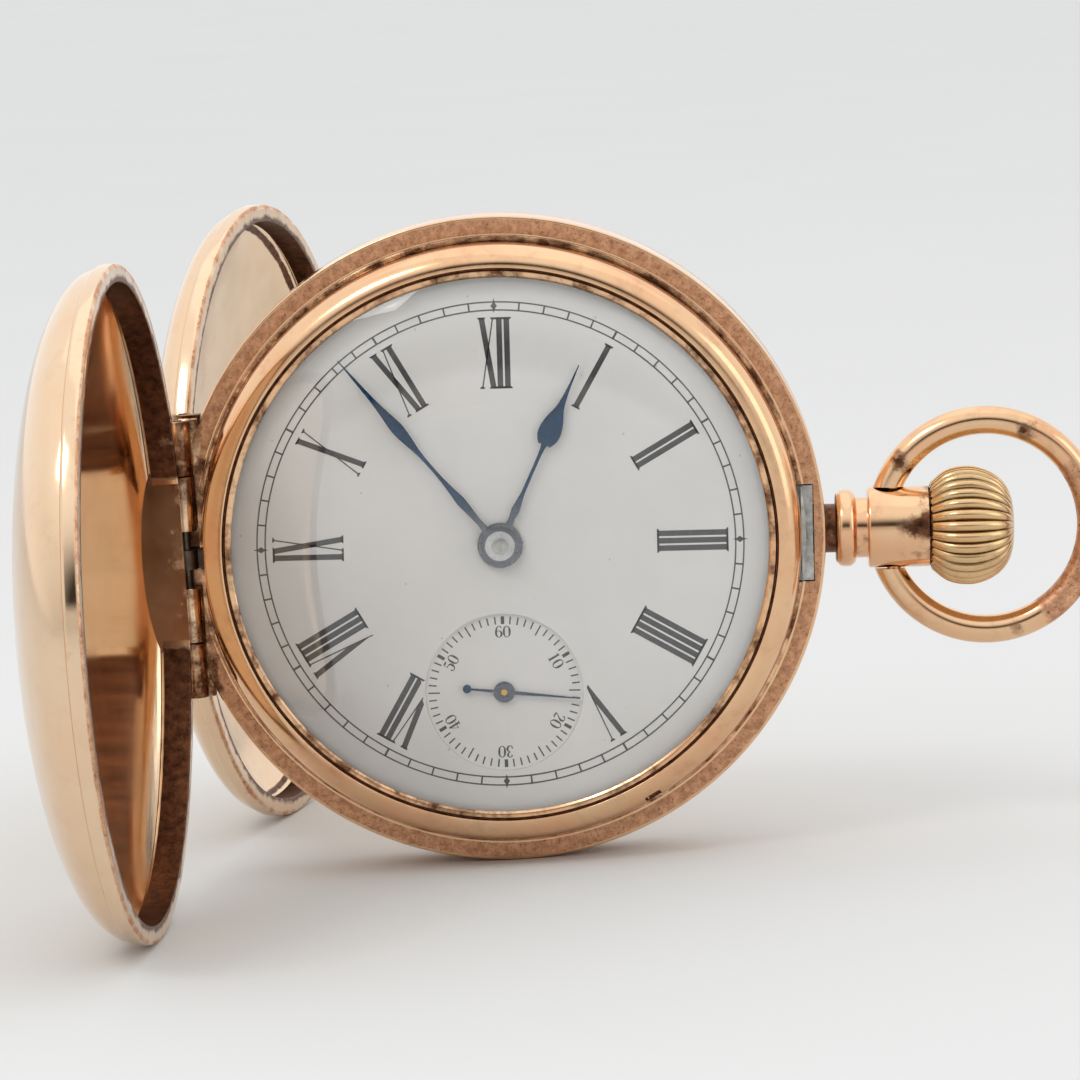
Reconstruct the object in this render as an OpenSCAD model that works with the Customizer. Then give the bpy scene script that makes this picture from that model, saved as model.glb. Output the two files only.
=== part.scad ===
// Full hunter pocket watch, standing on its rims with both lids open.
// Y runs from the dial to the back, Z runs up along the hinges and X runs toward the crown.
// The origin is on the case axis, in the plane of the front lid's seat.

/* [Case] */
// Outer radius of the band and of both lid rims
case_r = 25.2; // [25:0.1:25.6]
// Depth of the band between the two lid seats
band_depth = 5; // [4.8:0.1:5.4]
// Radial thickness of the band between its bore and its rim
case_wall = 3.6; // [3.5:0.05:3.7]
// Width of the flat seat that each lid rim closes on
seat_w = 1.45; // [1.3:0.05:1.5]
// Height of the collars that carry the bezel and the dust cover
collar_h = 1.2; // [0.9:0.1:1.3]
// Radial wall of the collars
collar_wall = 1; // [0.8:0.05:1.1]
// Angle by which the pendant and the movement stand turned from square with the hinges
works_turn = 2.2; // [0:0.1:3]

/* [Lids] */
// Height of the front lid from its rim to its crown
front_lid_h = 7.8; // [7.6:0.1:9]
// Height of the rear lid from its rim to its crown
rear_lid_h = 6.5; // [5.4:0.1:8]
// Sheet thickness of the lids
lid_wall = 0.6; // [0.4:0.05:0.7]
// Width of the rounded lip round each lid's rim
lip_h = 1.3; // [1:0.1:1.5]
// Depth of the snap wall inside each lid's rim
snap_h = 2.1; // [1.6:0.1:2.4]
// How far the front lid stands open
front_open = 93.8; // [80:0.1:100]
// How far the rear lid stands open
rear_open = 77.5; // [74:0.1:90]

/* [Hinges] */
// Distance of the hinge pins inside the outer radius of the band
hinge_inset = 0.7; // [0.6:0.05:0.8]
// Length of each lid hinge
hinge_len = 21.8; // [18:0.2:23]
// Outer radius of the lid hinge knuckles
knuckle_r = 0.95; // [0.85:0.05:1]
// Radius of the lid hinge pins
pin_r = 0.35; // [0.3:0.05:0.4]
// Radial running clearance of every pin and pivot
run_gap = 0.03; // [0.02:0.01:0.04]
// End gap between neighbouring knuckles
knuckle_gap = 0.1; // [0.06:0.02:0.2]
// Length of the dust cover's hinge
cover_hinge_len = 8; // [6:0.5:10]

/* [Bezel and glass] */
// Gap between the bezel and the inner edge of the lid seat
bezel_gap = 0.45; // [0.4:0.05:0.55]
// Radial width of the bezel in front
bezel_face = 2.55; // [2.4:0.05:3]
// Height of the bezel's crown in front of the lid seat
bezel_h = 3.7; // [3.5:0.05:3.75]
// Thickness of the glass
glass_t = 0.7; // [0.5:0.1:0.8]
// Rise of the glass at its middle
glass_rise = 2.4; // [2.3:0.1:3]

/* [Pendant, crown and bow] */
// Gap between the band and the bead of the pendant
bead_gap = 0.8; // [0.7:0.1:1.2]
// Radius of the bead
bead_r = 3; // [2.7:0.1:3.2]
// Distance from the start of the bead to the neck
bead_len = 2.5; // [2.2:0.1:2.8]
// Length of the neck
neck_len = 4.9; // [4.6:0.1:5.2]
// Radius of the neck
neck_r = 3.15; // [3:0.05:3.3]
// Radius of the crown
crown_r = 4.65; // [4.2:0.05:5]
// Length of the crown
crown_len = 6.5; // [6:0.1:7]
// Number of flutes round the crown
crown_flutes = 30; // [20:1:36]
// Travel of the crown when it is pressed
press_travel = 1; // [0.6:0.1:1]
// Outer radius of the bow
bow_r = 9.3; // [9:0.1:10]
// Radius of the bow's wire
bow_wire_r = 1.1; // [0.9:0.05:1.2]
// Distance from the start of the neck to the bow's pivots
pivot_inset = 2; // [1.8:0.1:2.3]

/* [Dial and hands] */
// Distance from the lid seat forward to the face of the dial
dial_front = 2.6; // [2.55:0.05:2.65]
// How far the dial reaches behind the bezel
dial_lap = 0.55; // [0.45:0.05:0.65]
// Thickness of the dial
dial_t = 0.8; // [0.6:0.05:0.85]
// Distance of the seconds dial below the middle
seconds_drop = 11.5; // [11.4:0.05:11.6]
// Radius of the sunk seconds dial
seconds_r = 6.1; // [5.4:0.1:6.3]
// Length of the minute hand
minute_len = 18.9; // [16:0.1:19.6]
// Length of the hour hand
hour_len = 15.2; // [12:0.1:16]
// Length of the seconds hand
second_len = 5.9; // [4:0.1:6]
// Length of the seconds hand's tail
second_tail = 2.9; // [2:0.1:3.5]
// Minutes shown
shown_minutes = 53.4; // [0:0.1:59.9]
// Angle of the hour hand from twelve
hour_angle = 25; // [0:0.5:359]
// Seconds shown
shown_seconds = 16; // [0:1:59]
// Thickness of the hands
hand_t = 0.16; // [0.12:0.02:0.2]

/* [Movement plates] */
// Radial gap between the main plate and the bore of the band
plate_gap = 0.2; // [0.15:0.05:0.3]
// Thickness of the main plate
plate_t = 2.05; // [2:0.05:2.1]
// Space between the main plate and the bridges
train_space = 3.2; // [3.2:0.05:3.25]
// Thickness of the bridges
bridge_t = 1.4; // [1.2:0.05:1.45]
// Radius of a bridge screw's head
screw_head_r = 0.8; // [0.6:0.05:0.8]

/* [Going train] */
// Tooth size of the centre and third wheels
train_module = 0.2; // [0.198:0.001:0.202]
// Tooth size of the fourth wheel
fourth_module = 0.17; // [0.165:0.001:0.172]
// Distance of the barrel from the middle
barrel_dist = 10.5; // [10.45:0.05:10.55]
// Direction of the barrel from the middle
barrel_dir = 60; // [58:0.5:61]
// Height of the barrel drum
barrel_h = 2.15; // [1.9:0.05:2.2]
// Radius of the escape wheel
escape_r = 3.6; // [3.5:0.05:3.65]
// Radius of the balance rim
balance_r = 7.6; // [7:0.1:7.7]
// Radius of the wheel arbors
arbor_r = 0.4; // [0.35:0.01:0.42]

/* [Winding work] */
// Distance of the crown wheel from the middle
crown_wheel_x = 11.7; // [11.6:0.05:11.8]
// Pitch radius of the crown wheel
crown_wheel_r = 4.3; // [4.2:0.05:4.4]
// Radius of the winding pinion
winding_pinion_r = 1.45; // [1.3:0.05:1.47]
// Radius of the winding stem
stem_r = 0.6; // [0.5:0.05:0.65]
// Travel of the sliding clutch
clutch_travel = 0.8; // [0.6:0.05:0.9]

/* [Hidden] */
$fn = 96;
eps = 0.02;
face_gap = 0.1;

// Levels along Y
dial_back = -dial_front + dial_t;
plate_front = dial_back + 0.05;
plate_back = plate_front + plate_t;
bridge_front = plate_back + train_space;
bridge_back = bridge_front + bridge_t;
rear_seat = band_depth;
stem_y = band_depth / 2;

// Radii and places that the case pieces share
band_bore_r = case_r - case_wall;
seat_inner_r = case_r - seat_w;
hinge_x = case_r - hinge_inset;
bezel_r = seat_inner_r - bezel_gap;
bezel_open_r = bezel_r - bezel_face;
dial_r = bezel_open_r + dial_lap;
plate_r = band_bore_r - plate_gap;
bead_x = case_r + bead_gap;
neck_x = bead_x + bead_len;
bow_pivot_x = neck_x + pivot_inset;
lip_inner_r = seat_inner_r + 0.05;
lid_flat_x = hinge_x - knuckle_r - face_gap;
lid_flat_wall = 0.45;
bezel_flat_x = lid_flat_x - lid_flat_wall - 0.05;
collar_r = band_bore_r + collar_wall;
cover_r = bezel_r;
cover_t = 0.45;
cover_rise = 1.5;
cover_hinge_x = bezel_flat_x - 0.75;
cover_hinge_y = rear_seat + 0.75;
cover_knuckle_r = 0.5;
cover_pin_r = 0.2;

// Gear sizes
CENTRE_TEETH = 64;
THIRD_PINION = 8;
THIRD_TEETH = 60;
FOURTH_PINION = 8;
FOURTH_TEETH = 70;
ESCAPE_PINION = 7;
ESCAPE_TEETH = 15;
BARREL_TEETH = 72;
CENTRE_PINION = 12;
CANNON_TEETH = 12;
MINUTE_TEETH = 36;
MINUTE_PINION = 10;
HOUR_TEETH = 40;
SETTING_TEETH = 18;
RATCHET_TEETH = 51;
CROWN_WHEEL_TEETH = 32;
motion_dist = 4.8;
motion_dir = -30;

// Distances between the arbors
centre_third = train_module * (CENTRE_TEETH + THIRD_PINION) / 2;
third_fourth = train_module * (THIRD_TEETH + FOURTH_PINION) / 2;
fourth_escape = fourth_module * (FOURTH_TEETH + ESCAPE_PINION) / 2;

// Places of the arbors in the plane of the dial, as X and Z
function polar(r, a) = [r * cos(a), r * sin(a)];
barrel_at = polar(barrel_dist, barrel_dir);
fourth_at = [0, -seconds_drop];
third_z = -(pow(centre_third, 2) - pow(third_fourth, 2) + pow(seconds_drop, 2)) / (2 * seconds_drop);
third_at = [sqrt(pow(centre_third, 2) - pow(third_z, 2)), third_z];
escape_at = fourth_at + polar(fourth_escape, 200);
pallet_dist = 1.17 * escape_r;
balance_dir = 116.7;
pallet_at = escape_at + polar(pallet_dist, balance_dir);
balance_at = pallet_at + polar(5.6, balance_dir);
minute_at = polar(motion_dist, motion_dir);
crown_wheel_at = [crown_wheel_x, 0];
ratchet_r = norm(crown_wheel_at - barrel_at) - crown_wheel_r;

// Levels of the glass, hands and wheels along Y
glass_edge = -bezel_h + 0.25;
glass_back = glass_edge + glass_t;
second_y = -dial_front - 0.15;
hour_y = -dial_front - 0.45;
minute_y = -dial_front - 0.85;
post_tip = -dial_front - 1.15;
motion_floor = plate_front + 1.2;
barrel_front = plate_back + 0.2;
escape_y = plate_back + 1.2;
balance_y = plate_back + 2.75;
balance_h = 0.45;
cock_front = plate_back + 3.65;
wheel_t = 0.25;
top_wheel_y = bridge_back + 0.05;
top_wheel_t = 0.45;
spiral_t = 0.12;

// Solids of revolution and plates in the watch's own directions
module slab(y0, y1) translate([0, y1, 0]) rotate([90, 0, 0]) linear_extrude(y1 - y0) children();
module turned_y() rotate([-90, 0, 0]) rotate_extrude() children();
module turned_x() rotate([0, 90, 0]) rotate_extrude() children();
module rod_y(r, y0, y1) slab(y0, y1) circle(r);
module rod_x(r, x0, x1) translate([x0, 0, 0]) rotate([0, 90, 0]) cylinder(r=r, h=x1 - x0);
module block(x0, x1, y0, y1, z0, z1) translate([x0, y0, z0]) cube([x1 - x0, y1 - y0, z1 - z0]);
module washer(r_out, r_in, y0, y1) slab(y0, y1) difference() {
    circle(r_out);
    circle(r_in);
}
module at(p) translate([p[0], 0, p[1]]) children();
module works() rotate([0, works_turn, 0]) children();
module on_stem() translate([0, stem_y, 0]) children();

// Outline of a wheel with pointed teeth
function tooth_points(teeth, m) = [
    for (i = [0:2 * teeth - 1])
        polar(teeth * m / 2 + (i % 2 == 0 ? 0.5 : -0.9) * m, 180 * i / teeth)
];
module toothed(teeth, m, turn=0) rotate(turn) polygon(tooth_points(teeth, m));
module wheel(teeth, m, y0, y1, spokes, hub_r, turn=0) {
    pitch_r = teeth * m / 2;
    rim_r = pitch_r - 4.5 * m;
    slab(y0, y1) difference() {
        toothed(teeth, m, turn);
        difference() {
            circle(rim_r);
            circle(hub_r);
            for (i = [0:spokes - 1]) rotate(turn + 360 * i / spokes) translate([0, -pitch_r / 14])
                square([rim_r + eps, pitch_r / 7]);
        }
    }
}
module arbor(y0, y1, r=arbor_r) rod_y(r, y0, y1);
module screw(head_r, head_t, y_head, length, shank) {
    difference() {
        rod_y(head_r, y_head, y_head + head_t);
        block(-head_r - 1, head_r + 1, y_head + head_t * 0.5, y_head + head_t + 1, -head_r / 7, head_r / 7);
    }
    rod_y(shank, y_head - length, y_head);
}

// Hinges: five places along the pin, counted from below
knuckle_len = hinge_len / 5;
front_band_places = [0, 4];
rear_band_places = [0, 2, 4];
lid_places = [1, 3];
leaf_reach = 22;
module knuckle_bar(places, gap) for (i = places)
    translate([-hinge_x, 0, -hinge_len / 2 + i * knuckle_len + gap / 2])
        cylinder(r=knuckle_r, h=knuckle_len - gap);
module leaf_bar(places, gap, y0, y1) for (i = places) {
    z0 = -hinge_len / 2 + i * knuckle_len + gap / 2;
    z1 = z0 + knuckle_len - gap;
    block(-hinge_x, -lid_flat_x + face_gap, y0, y1, z0, z1);
    difference() {
        block(-hinge_x, -leaf_reach, y0, y1, z0, z1);
        rod_y(lip_inner_r, y0 - 1, y1 + 1);
    }
}
module hinge_bore() translate([-hinge_x, 0, -hinge_len / 2 - 1])
    cylinder(r=pin_r + run_gap, h=hinge_len + 2);
module hinge_pin() translate([-hinge_x, 0, -hinge_len / 2]) cylinder(r=pin_r, h=hinge_len);
hinge_room_y = knuckle_r + face_gap;

// Case
module band_ring() turned_y() polygon([
    [band_bore_r, -collar_h],
    [collar_r - 0.15, -collar_h],
    [collar_r, -collar_h + 0.15],
    [collar_r, 0.3],
    [bezel_r + 0.06, 0.3],
    [bezel_r + 0.06, -0.3],
    [seat_inner_r - 0.1, -0.3],
    [seat_inner_r - 0.1, 0],
    [case_r - 0.12, 0],
    [case_r, 0.12],
    [case_r, band_depth - 0.12],
    [case_r - 0.12, band_depth],
    [collar_r, band_depth],
    [collar_r, band_depth + collar_h - 0.3],
    [band_bore_r, band_depth + collar_h - 0.3]
]);
module case_band() color("#c98d62") {
    half = hinge_len / 2 + knuckle_gap;
    difference() {
        union() {
            difference() {
                band_ring();
                block(-case_r - 1, -lid_flat_x, -3, hinge_room_y, -half, half);
                block(-case_r - 1, -lid_flat_x, rear_seat - hinge_room_y, rear_seat + 3, -half, half);
                block(-case_r - 1, -bezel_flat_x + face_gap, -3, 0, -half, half);
            }
            knuckle_bar(front_band_places, knuckle_gap);
            leaf_bar(front_band_places, knuckle_gap, 0.1, hinge_room_y + 0.3);
            translate([0, rear_seat, 0]) {
                knuckle_bar(rear_band_places, knuckle_gap);
                leaf_bar(rear_band_places, knuckle_gap, -hinge_room_y - 0.3, -0.1);
            }
            cover_knuckles([0, 2]);
        }
        on_cover_hinge(-cover_len / 2 - knuckle_gap / 2)
            cylinder(r=cover_knuckle_r + face_gap, h=cover_len + knuckle_gap);
        hinge_bore();
        translate([0, rear_seat, 0]) hinge_bore();
        cover_hinge_bore();
        // Slot and groove for the lift spring
        block(-case_r - 1, -band_bore_r + 1, -0.7, 2.3, -lift_w / 2 - face_gap, lift_w / 2 + face_gap);
        spring_groove(178, 227);
        lift_screw_holes();
        works() {
            // Slot for the catch, groove for its spring and hole for the stem
            block(catch_x0 - press_travel - face_gap, catch_x1 + face_gap, -3, 2.3,
                -catch_w / 2 - face_gap, catch_w / 2 + face_gap);
            spring_groove(-56, 6);
            on_stem() rod_x(root_r + face_gap / 2, band_bore_r - 1, case_r + 1);
            case_screw_places() rod_y(case_screw_r + 0.05, 3, rear_seat + 1);
            case_screw_places() rod_y(case_head_r + 0.05, bridge_back - 0.05, rear_seat + 2);
        }
    }
}
groove_r = band_bore_r + 1.3;
module sector(r, a0, a1) intersection() {
    circle(r);
    polygon([[0, 0], polar(2 * r, a0), polar(2 * r, (2 * a0 + a1) / 3), polar(2 * r, (a0 + 2 * a1) / 3), polar(2 * r, a1)]);
}
module spring_groove(a0, a1) slab(1, 3) difference() {
    sector(groove_r, a0, a1);
    circle(band_bore_r - 0.5);
}
module spring_strip(a0, a1) slab(1.2, 2.8) difference() {
    sector(groove_r - 0.15, a0, a1);
    circle(groove_r - 0.75);
}
lift_w = 1.5;
catch_w = 7.4;
catch_x0 = seat_inner_r - 0.85;
catch_x1 = seat_inner_r + 0.45;
catch_nose = 1;
module lift_spring() color("#55504a") difference() {
    union() {
        spring_strip(180, 225);
        block(-hinge_x - 0.55, -groove_r + 0.85, 0.1, 2.2, -lift_w / 2, lift_w / 2);
        translate([-hinge_x, 0, -lift_w / 2]) cylinder(r=knuckle_r - 0.1, h=lift_w);
    }
    hinge_bore();
    lift_screw_holes();
}
module lift_screw_holes() for (a = lift_screw_angles) radial(a) translate([0, 2, 0])
    rod_x(0.33, groove_r - 2, groove_r + 1);
module lock_spring() color("#8d8f90") works() difference() {
    union() {
        block(catch_x0, catch_x1, 0.03, 2.2, -catch_w / 2, catch_w / 2);
        intersection() {
            block(catch_x1 - 0.9, seat_inner_r - 0.1, -catch_nose, 0.1, -catch_w / 2, catch_w / 2);
            rod_y(seat_inner_r - 0.1, -catch_nose - 1, 1);
        }
        block(groove_r - 0.4, catch_x0 + 0.1, 1.2, 2.2, -2, 2);
        spring_strip(-50, 4);
    }
    on_stem() rod_x(stem_r + 0.15, catch_x0 - 3, catch_x1 + 1);
}
case_screw_r = 0.45;
case_head_r = 1;
module case_screw_places() for (a = [112, 290]) at(polar(plate_r + 0.35, a)) children();

// Lids, drawn closed in front of the seat plane
lid_r = case_r - 0.25;
function dome(r, edge, height) = lip_h + (height - lip_h) * sqrt(max(0, 1 - pow(r / edge, 2.2)));
function dome_points(edge, height, b0) = [
    for (i = [0:14]) let (b = b0 + (90 - b0) * i / 14, r = edge * cos(b)) [i == 14 ? 0 : r, dome(r, edge, height)]
];
function reversed(v) = [for (i = [len(v) - 1:-1:0]) v[i]];
function snap_top(height) = min(snap_h, 0.29 * height);
function lid_profile(height) = concat(
    [[lip_inner_r, lid_rest], [case_r - 0.2, lid_rest], [case_r, 0.25]],
    [[case_r, lip_h - 0.3], [lid_r, lip_h - 0.05]],
    dome_points(lid_r, height, 4),
    reversed(dome_points(lid_r - lid_wall, height - lid_wall, 8)),
    [[lid_r - lid_wall - 0.3, snap_top(height)], [lip_inner_r, snap_top(height)]]
);
function lid_filled(height) = concat([[0, lid_rest], [lid_r, lid_rest]], dome_points(lid_r, height, 4));
lid_rest = 0.03;
module lid(height) difference() {
    union() {
        difference() {
            rotate([90, 0, 0]) rotate_extrude() polygon(lid_profile(height));
            block(-case_r - 1, -lid_flat_x, -hinge_room_y, 1,
                -hinge_len / 2 - knuckle_gap, hinge_len / 2 + knuckle_gap);
        }
        intersection() {
            block(-lid_flat_x, -lid_flat_x + lid_flat_wall, -4.5, -lid_rest, -8, 8);
            rotate([90, 0, 0]) rotate_extrude() polygon(lid_filled(height - 0.2));
        }
        knuckle_bar(lid_places, knuckle_gap);
        leaf_bar(lid_places, knuckle_gap, -hinge_room_y - 0.3, -0.1);
    }
    hinge_bore();
}
module front_lid() color("#d9a679") translate([-hinge_x, 0, 0]) rotate([0, 0, -front_open]) translate([hinge_x, 0, 0])
    lid(front_lid_h);
module rear_lid() color("#dcb18a") translate([-hinge_x, rear_seat, 0]) rotate([0, 0, rear_open]) translate([hinge_x, 0, 0])
    rotate([180, 0, 0]) lid(rear_lid_h);
module front_hinge_pin() color("#6d625a") hinge_pin();
module rear_hinge_pin() color("#6d625a") translate([0, rear_seat, 0]) hinge_pin();

// Dust cover
cover_len = cover_hinge_len / 3;
module on_cover_hinge(z) translate([-cover_hinge_x, cover_hinge_y, z]) children();
module cover_knuckles(places) for (i = places) on_cover_hinge(-cover_hinge_len / 2 + i * cover_len + knuckle_gap / 2)
    cylinder(r=cover_knuckle_r, h=cover_len - knuckle_gap);
module cover_hinge_bore() on_cover_hinge(-cover_hinge_len / 2 - 1)
    cylinder(r=cover_pin_r + run_gap, h=cover_hinge_len + 2);
cover_seat = rear_seat + collar_h - 0.2;
cover_chord_x = cover_hinge_x - 0.15;
cover_side_x = cover_hinge_x - cover_knuckle_r - face_gap;
cover_skirt_x = 17;
cover_skirt_r = collar_r + face_gap;
cover_top = cover_seat + cover_t + cover_rise;
function cover_arch(i) = cover_rise * (1 - pow(1 - i / 10, 2));
module cover_cut(x, y1, z0, z1) block(-case_r - 1, -x, rear_seat - 1, y1, z0, z1);
module dust_cover() color("#e0bd92") difference() {
    union() {
        difference() {
            turned_y() polygon(concat(
                [[cover_skirt_r, rear_seat + 0.1], [cover_r, rear_seat + 0.1]],
                [for (i = [0:10]) [cover_r * (1 - i / 10), cover_seat + cover_t + cover_arch(i)]],
                [for (i = [10:-1:0]) [cover_skirt_r * (1 - i / 10), cover_seat + cover_arch(i)]]
            ));
            cover_cut(cover_chord_x, cover_top + 1, -case_r, case_r);
            cover_cut(cover_skirt_x, cover_seat, -case_r, case_r);
            for (s = [-1, 1]) translate([0, 0, s * cover_len])
                cover_cut(cover_side_x, cover_top + 1, -cover_len / 2 - knuckle_gap / 2, cover_len / 2 + knuckle_gap / 2);
        }
        cover_knuckles([1]);
    }
    cover_hinge_bore();
}
module dust_cover_hinge_pin() color("#8a7a66") on_cover_hinge(-cover_hinge_len / 2)
    cylinder(r=cover_pin_r, h=cover_hinge_len);

// Bezel and glass
module bezel() color("#d39a5f") difference() {
    turned_y() polygon(concat(
        [[collar_r + 0.03, -0.05], [bezel_r - 0.2, -0.05], [bezel_r, -0.25]],
        [for (i = [0:9]) let (a = 10 * i) [bezel_r - 1.7 + 1.7 * cos(a), -1.6 - (bezel_h - 1.6) * sin(a)]],
        [[bezel_open_r + 0.25, -bezel_h + 0.06], [bezel_open_r, glass_edge - 0.04]],
        [[bezel_open_r + 0.3, glass_edge - 0.04], [bezel_open_r + 0.3, glass_back + 0.04]],
        [[bezel_open_r + 0.1, glass_back + 0.04], [dial_r + 0.15, -dial_front - 0.05]],
        [[dial_r + 0.15, -collar_h - 0.05], [collar_r + 0.03, -collar_h - 0.05]]
    ));
    block(-case_r, -bezel_flat_x, -6, 1, -8, 8);
    works() block(catch_x1 - 0.9 - press_travel - face_gap, case_r, -catch_nose - face_gap, 1,
        -catch_w / 2 - face_gap, catch_w / 2 + face_gap);
    rotate([0, 58, 0]) block(bezel_r - 0.5, bezel_r + 1, -0.8, 0.5, -0.75, 0.75);
}
function glass_y(r, shift) = glass_edge + shift - glass_rise * (1 - pow(r / bezel_open_r, 5));
function glass_r(i) = i == 10 ? 0 : bezel_open_r * cos(9 * i);
module crystal() color("#dfe8ea", 0.3) turned_y() polygon(concat(
    [[bezel_open_r + 0.26, glass_edge], [bezel_open_r + 0.26, glass_back]],
    [for (i = [0:10]) let (r = glass_r(i)) [r, glass_y(r, glass_t)]],
    [for (i = [10:-1:0]) let (r = glass_r(i)) [r, glass_y(r, 0)]]
));

// Pendant, case stem, crown and bow
root_r = 1.9;
root_x = catch_x1 + 0.15;
waist_r = 2.35;
sleeve_bore = 1.45;
case_stem_r = 1;
shank_r = 0.35;
crown_x = neck_x + neck_len;
crown_recess = press_travel + 0.2;
bow_ring_r = bow_r - bow_wire_r;
bow_x = bow_pivot_x + sqrt(pow(bow_ring_r, 2) - pow(neck_r + 0.75, 2));
module pendant_neck() color("#d49b6a") works() on_stem() difference() {
    turned_x() polygon([
        [sleeve_bore, root_x], [root_r, root_x], [root_r, bead_x], [bead_r - 0.35, bead_x],
        [bead_r, bead_x + 0.35], [bead_r, bead_x + 1.2], [bead_r - 0.35, bead_x + 1.55],
        [waist_r, bead_x + 1.6], [waist_r, neck_x], [neck_r - 0.15, neck_x], [neck_r, neck_x + 0.15],
        [neck_r, neck_x + neck_len - 0.15], [neck_r - 0.15, neck_x + neck_len], [sleeve_bore, neck_x + neck_len]
    ]);
    for (s = [-1, 1]) translate([bow_pivot_x, 0, s * (2 + neck_r / 2)])
        cylinder(r=0.55 + run_gap, h=neck_r, center=true);
}
module pendant_sleeve() color("#7b7d80") works() on_stem() difference() {
    rod_x(sleeve_bore - 0.02, bead_x, neck_x + neck_len - 0.2);
    rod_x(case_stem_r + run_gap, bead_x - 1, neck_x + neck_len + 1);
}
module case_stem() color("#6c6e70") works() on_stem() {
    rod_x(case_stem_r, catch_x1 + 0.1, crown_x + 1.6);
    rod_x(shank_r, catch_x1 - 4, catch_x1 + 0.2);
    rod_x(shank_r + 0.15, crown_x + 1.5, crown_x + 4);
}
// Distance along the crown and radius, as shares of its length and its radius
ONION = [
    [0, 0.76], [0.08, 0.83], [0.2, 0.935], [0.33, 0.985], [0.45, 1], [0.58, 0.98], [0.74, 0.885],
    [0.86, 0.755], [0.94, 0.57], [0.985, 0.36], [1, 0.16]
];
function onion_points() = concat([[0, 0]], [for (s = ONION) [s[1] * crown_r, s[0] * crown_len]], [[0, crown_len]]);
module crown() color("#b98d3e") works() on_stem() translate([crown_x, 0, 0]) difference() {
    intersection() {
        turned_x() polygon(onion_points());
        rotate([0, 90, 0]) linear_extrude(crown_len) polygon([
            for (i = [0:2 * crown_flutes - 1]) polar(crown_r * (i % 2 == 0 ? 1.02 : 0.915), 180 * i / crown_flutes)
        ]);
    }
    rod_x(neck_r + 0.15, -1, crown_recess);
    rod_x(case_stem_r + run_gap, 0, 1.7);
    rod_x(shank_r + 0.15 + run_gap, 1.5, 4.1);
}
module bow() color("#cf9a6b") works() on_stem() {
    difference() {
        translate([bow_x, 0, 0]) rotate([90, 0, 0]) rotate_extrude() translate([bow_ring_r, 0]) circle(bow_wire_r, $fn=48);
        block(bow_x - bow_r - 1, crown_x - 0.5, -bow_wire_r - 1, bow_wire_r + 1, -neck_r - 0.12, neck_r + 0.12);
    }
    for (s = [-1, 1]) translate([bow_pivot_x, 0, s * (neck_r + 0.3)]) cylinder(r=0.55, h=1.9, center=true);
}
lift_screw_angles = [196, 214];
module radial(a) rotate([0, -a, 0]) children();
module case_spring_screws() color("#8f8f8f") for (a = lift_screw_angles) radial(a) translate([0, 2, 0]) {
    rod_x(0.3, groove_r - 0.9, groove_r + 0.9);
    rod_x(0.5, groove_r - 1.1, groove_r - 0.78);
}

// Dial and hands
dial_hole_r = 1.05;
seconds_hole_r = 0.45;
feet_places = [60, 180, 300];
module dial() color("#f2f1ec") works() slab(-dial_front, dial_back) difference() {
    circle(dial_r);
    circle(dial_hole_r);
    translate(fourth_at) circle(seconds_r + eps);
}
module seconds_sub_dial() color("#efeee9") works() at(fourth_at) washer(seconds_r, seconds_hole_r, -dial_front + 0.2, dial_back);
module feet(r, y0, y1) for (a = feet_places) at(polar(17, a)) rod_y(r, y0, y1);
module dial_feet() color("#b06a45") works() feet(0.5, dial_back, dial_back + 1.4);

// A hand pointing up: pairs of distance and half width, as shares of its length and in mm
module hand_shape(length, stations) polygon(concat(
    [for (s = stations) [s[1], s[0] * length]],
    [for (s = reversed(stations)) [-s[1], s[0] * length]]
));
module hand(turn, y, hub_r, bore_r) slab(y, y + hand_t) rotate(-turn) difference() {
    union() {
        circle(hub_r);
        children();
    }
    circle(bore_r);
}
hour_pipe_r = 0.95;
cannon_r = 0.7;
seconds_arbor_r = 0.25;
HOUR_STATIONS = [
    [0.08, 0.3], [0.13, 0.2], [0.2, 0.32], [0.3, 0.13], [0.54, 0.16], [0.56, 0.55], [0.6, 0.82], [0.645, 0.86],
    [0.7, 0.68], [0.76, 0.32], [0.83, 0.16], [1, 0.03]
];
MINUTE_STATIONS = [
    [0.05, 0.3], [0.13, 0.2], [0.245, 0.35], [0.45, 0.14], [0.51, 0.2], [0.625, 0.47], [0.72, 0.3], [0.87, 0.12], [1, 0.03]
];
hub_lap = 0.01;
module hour_hand() color("#23324f") works() hand(hour_angle, hour_y, 1.75, hour_pipe_r + hub_lap)
    hand_shape(hour_len, HOUR_STATIONS);
module minute_hand() color("#23324f") works() hand(shown_minutes * 6, minute_y, 1.4, cannon_r + hub_lap)
    hand_shape(minute_len, MINUTE_STATIONS);
module second_hand() color("#2c2f3a") works() at(fourth_at) hand(shown_seconds * 6, second_y, 0.82, seconds_arbor_r + hub_lap) {
    hand_shape(second_len, [[-second_tail / second_len, 0.06], [0, 0.13], [1, 0.03]]);
    translate([0, -second_tail]) circle(0.33);
}

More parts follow.
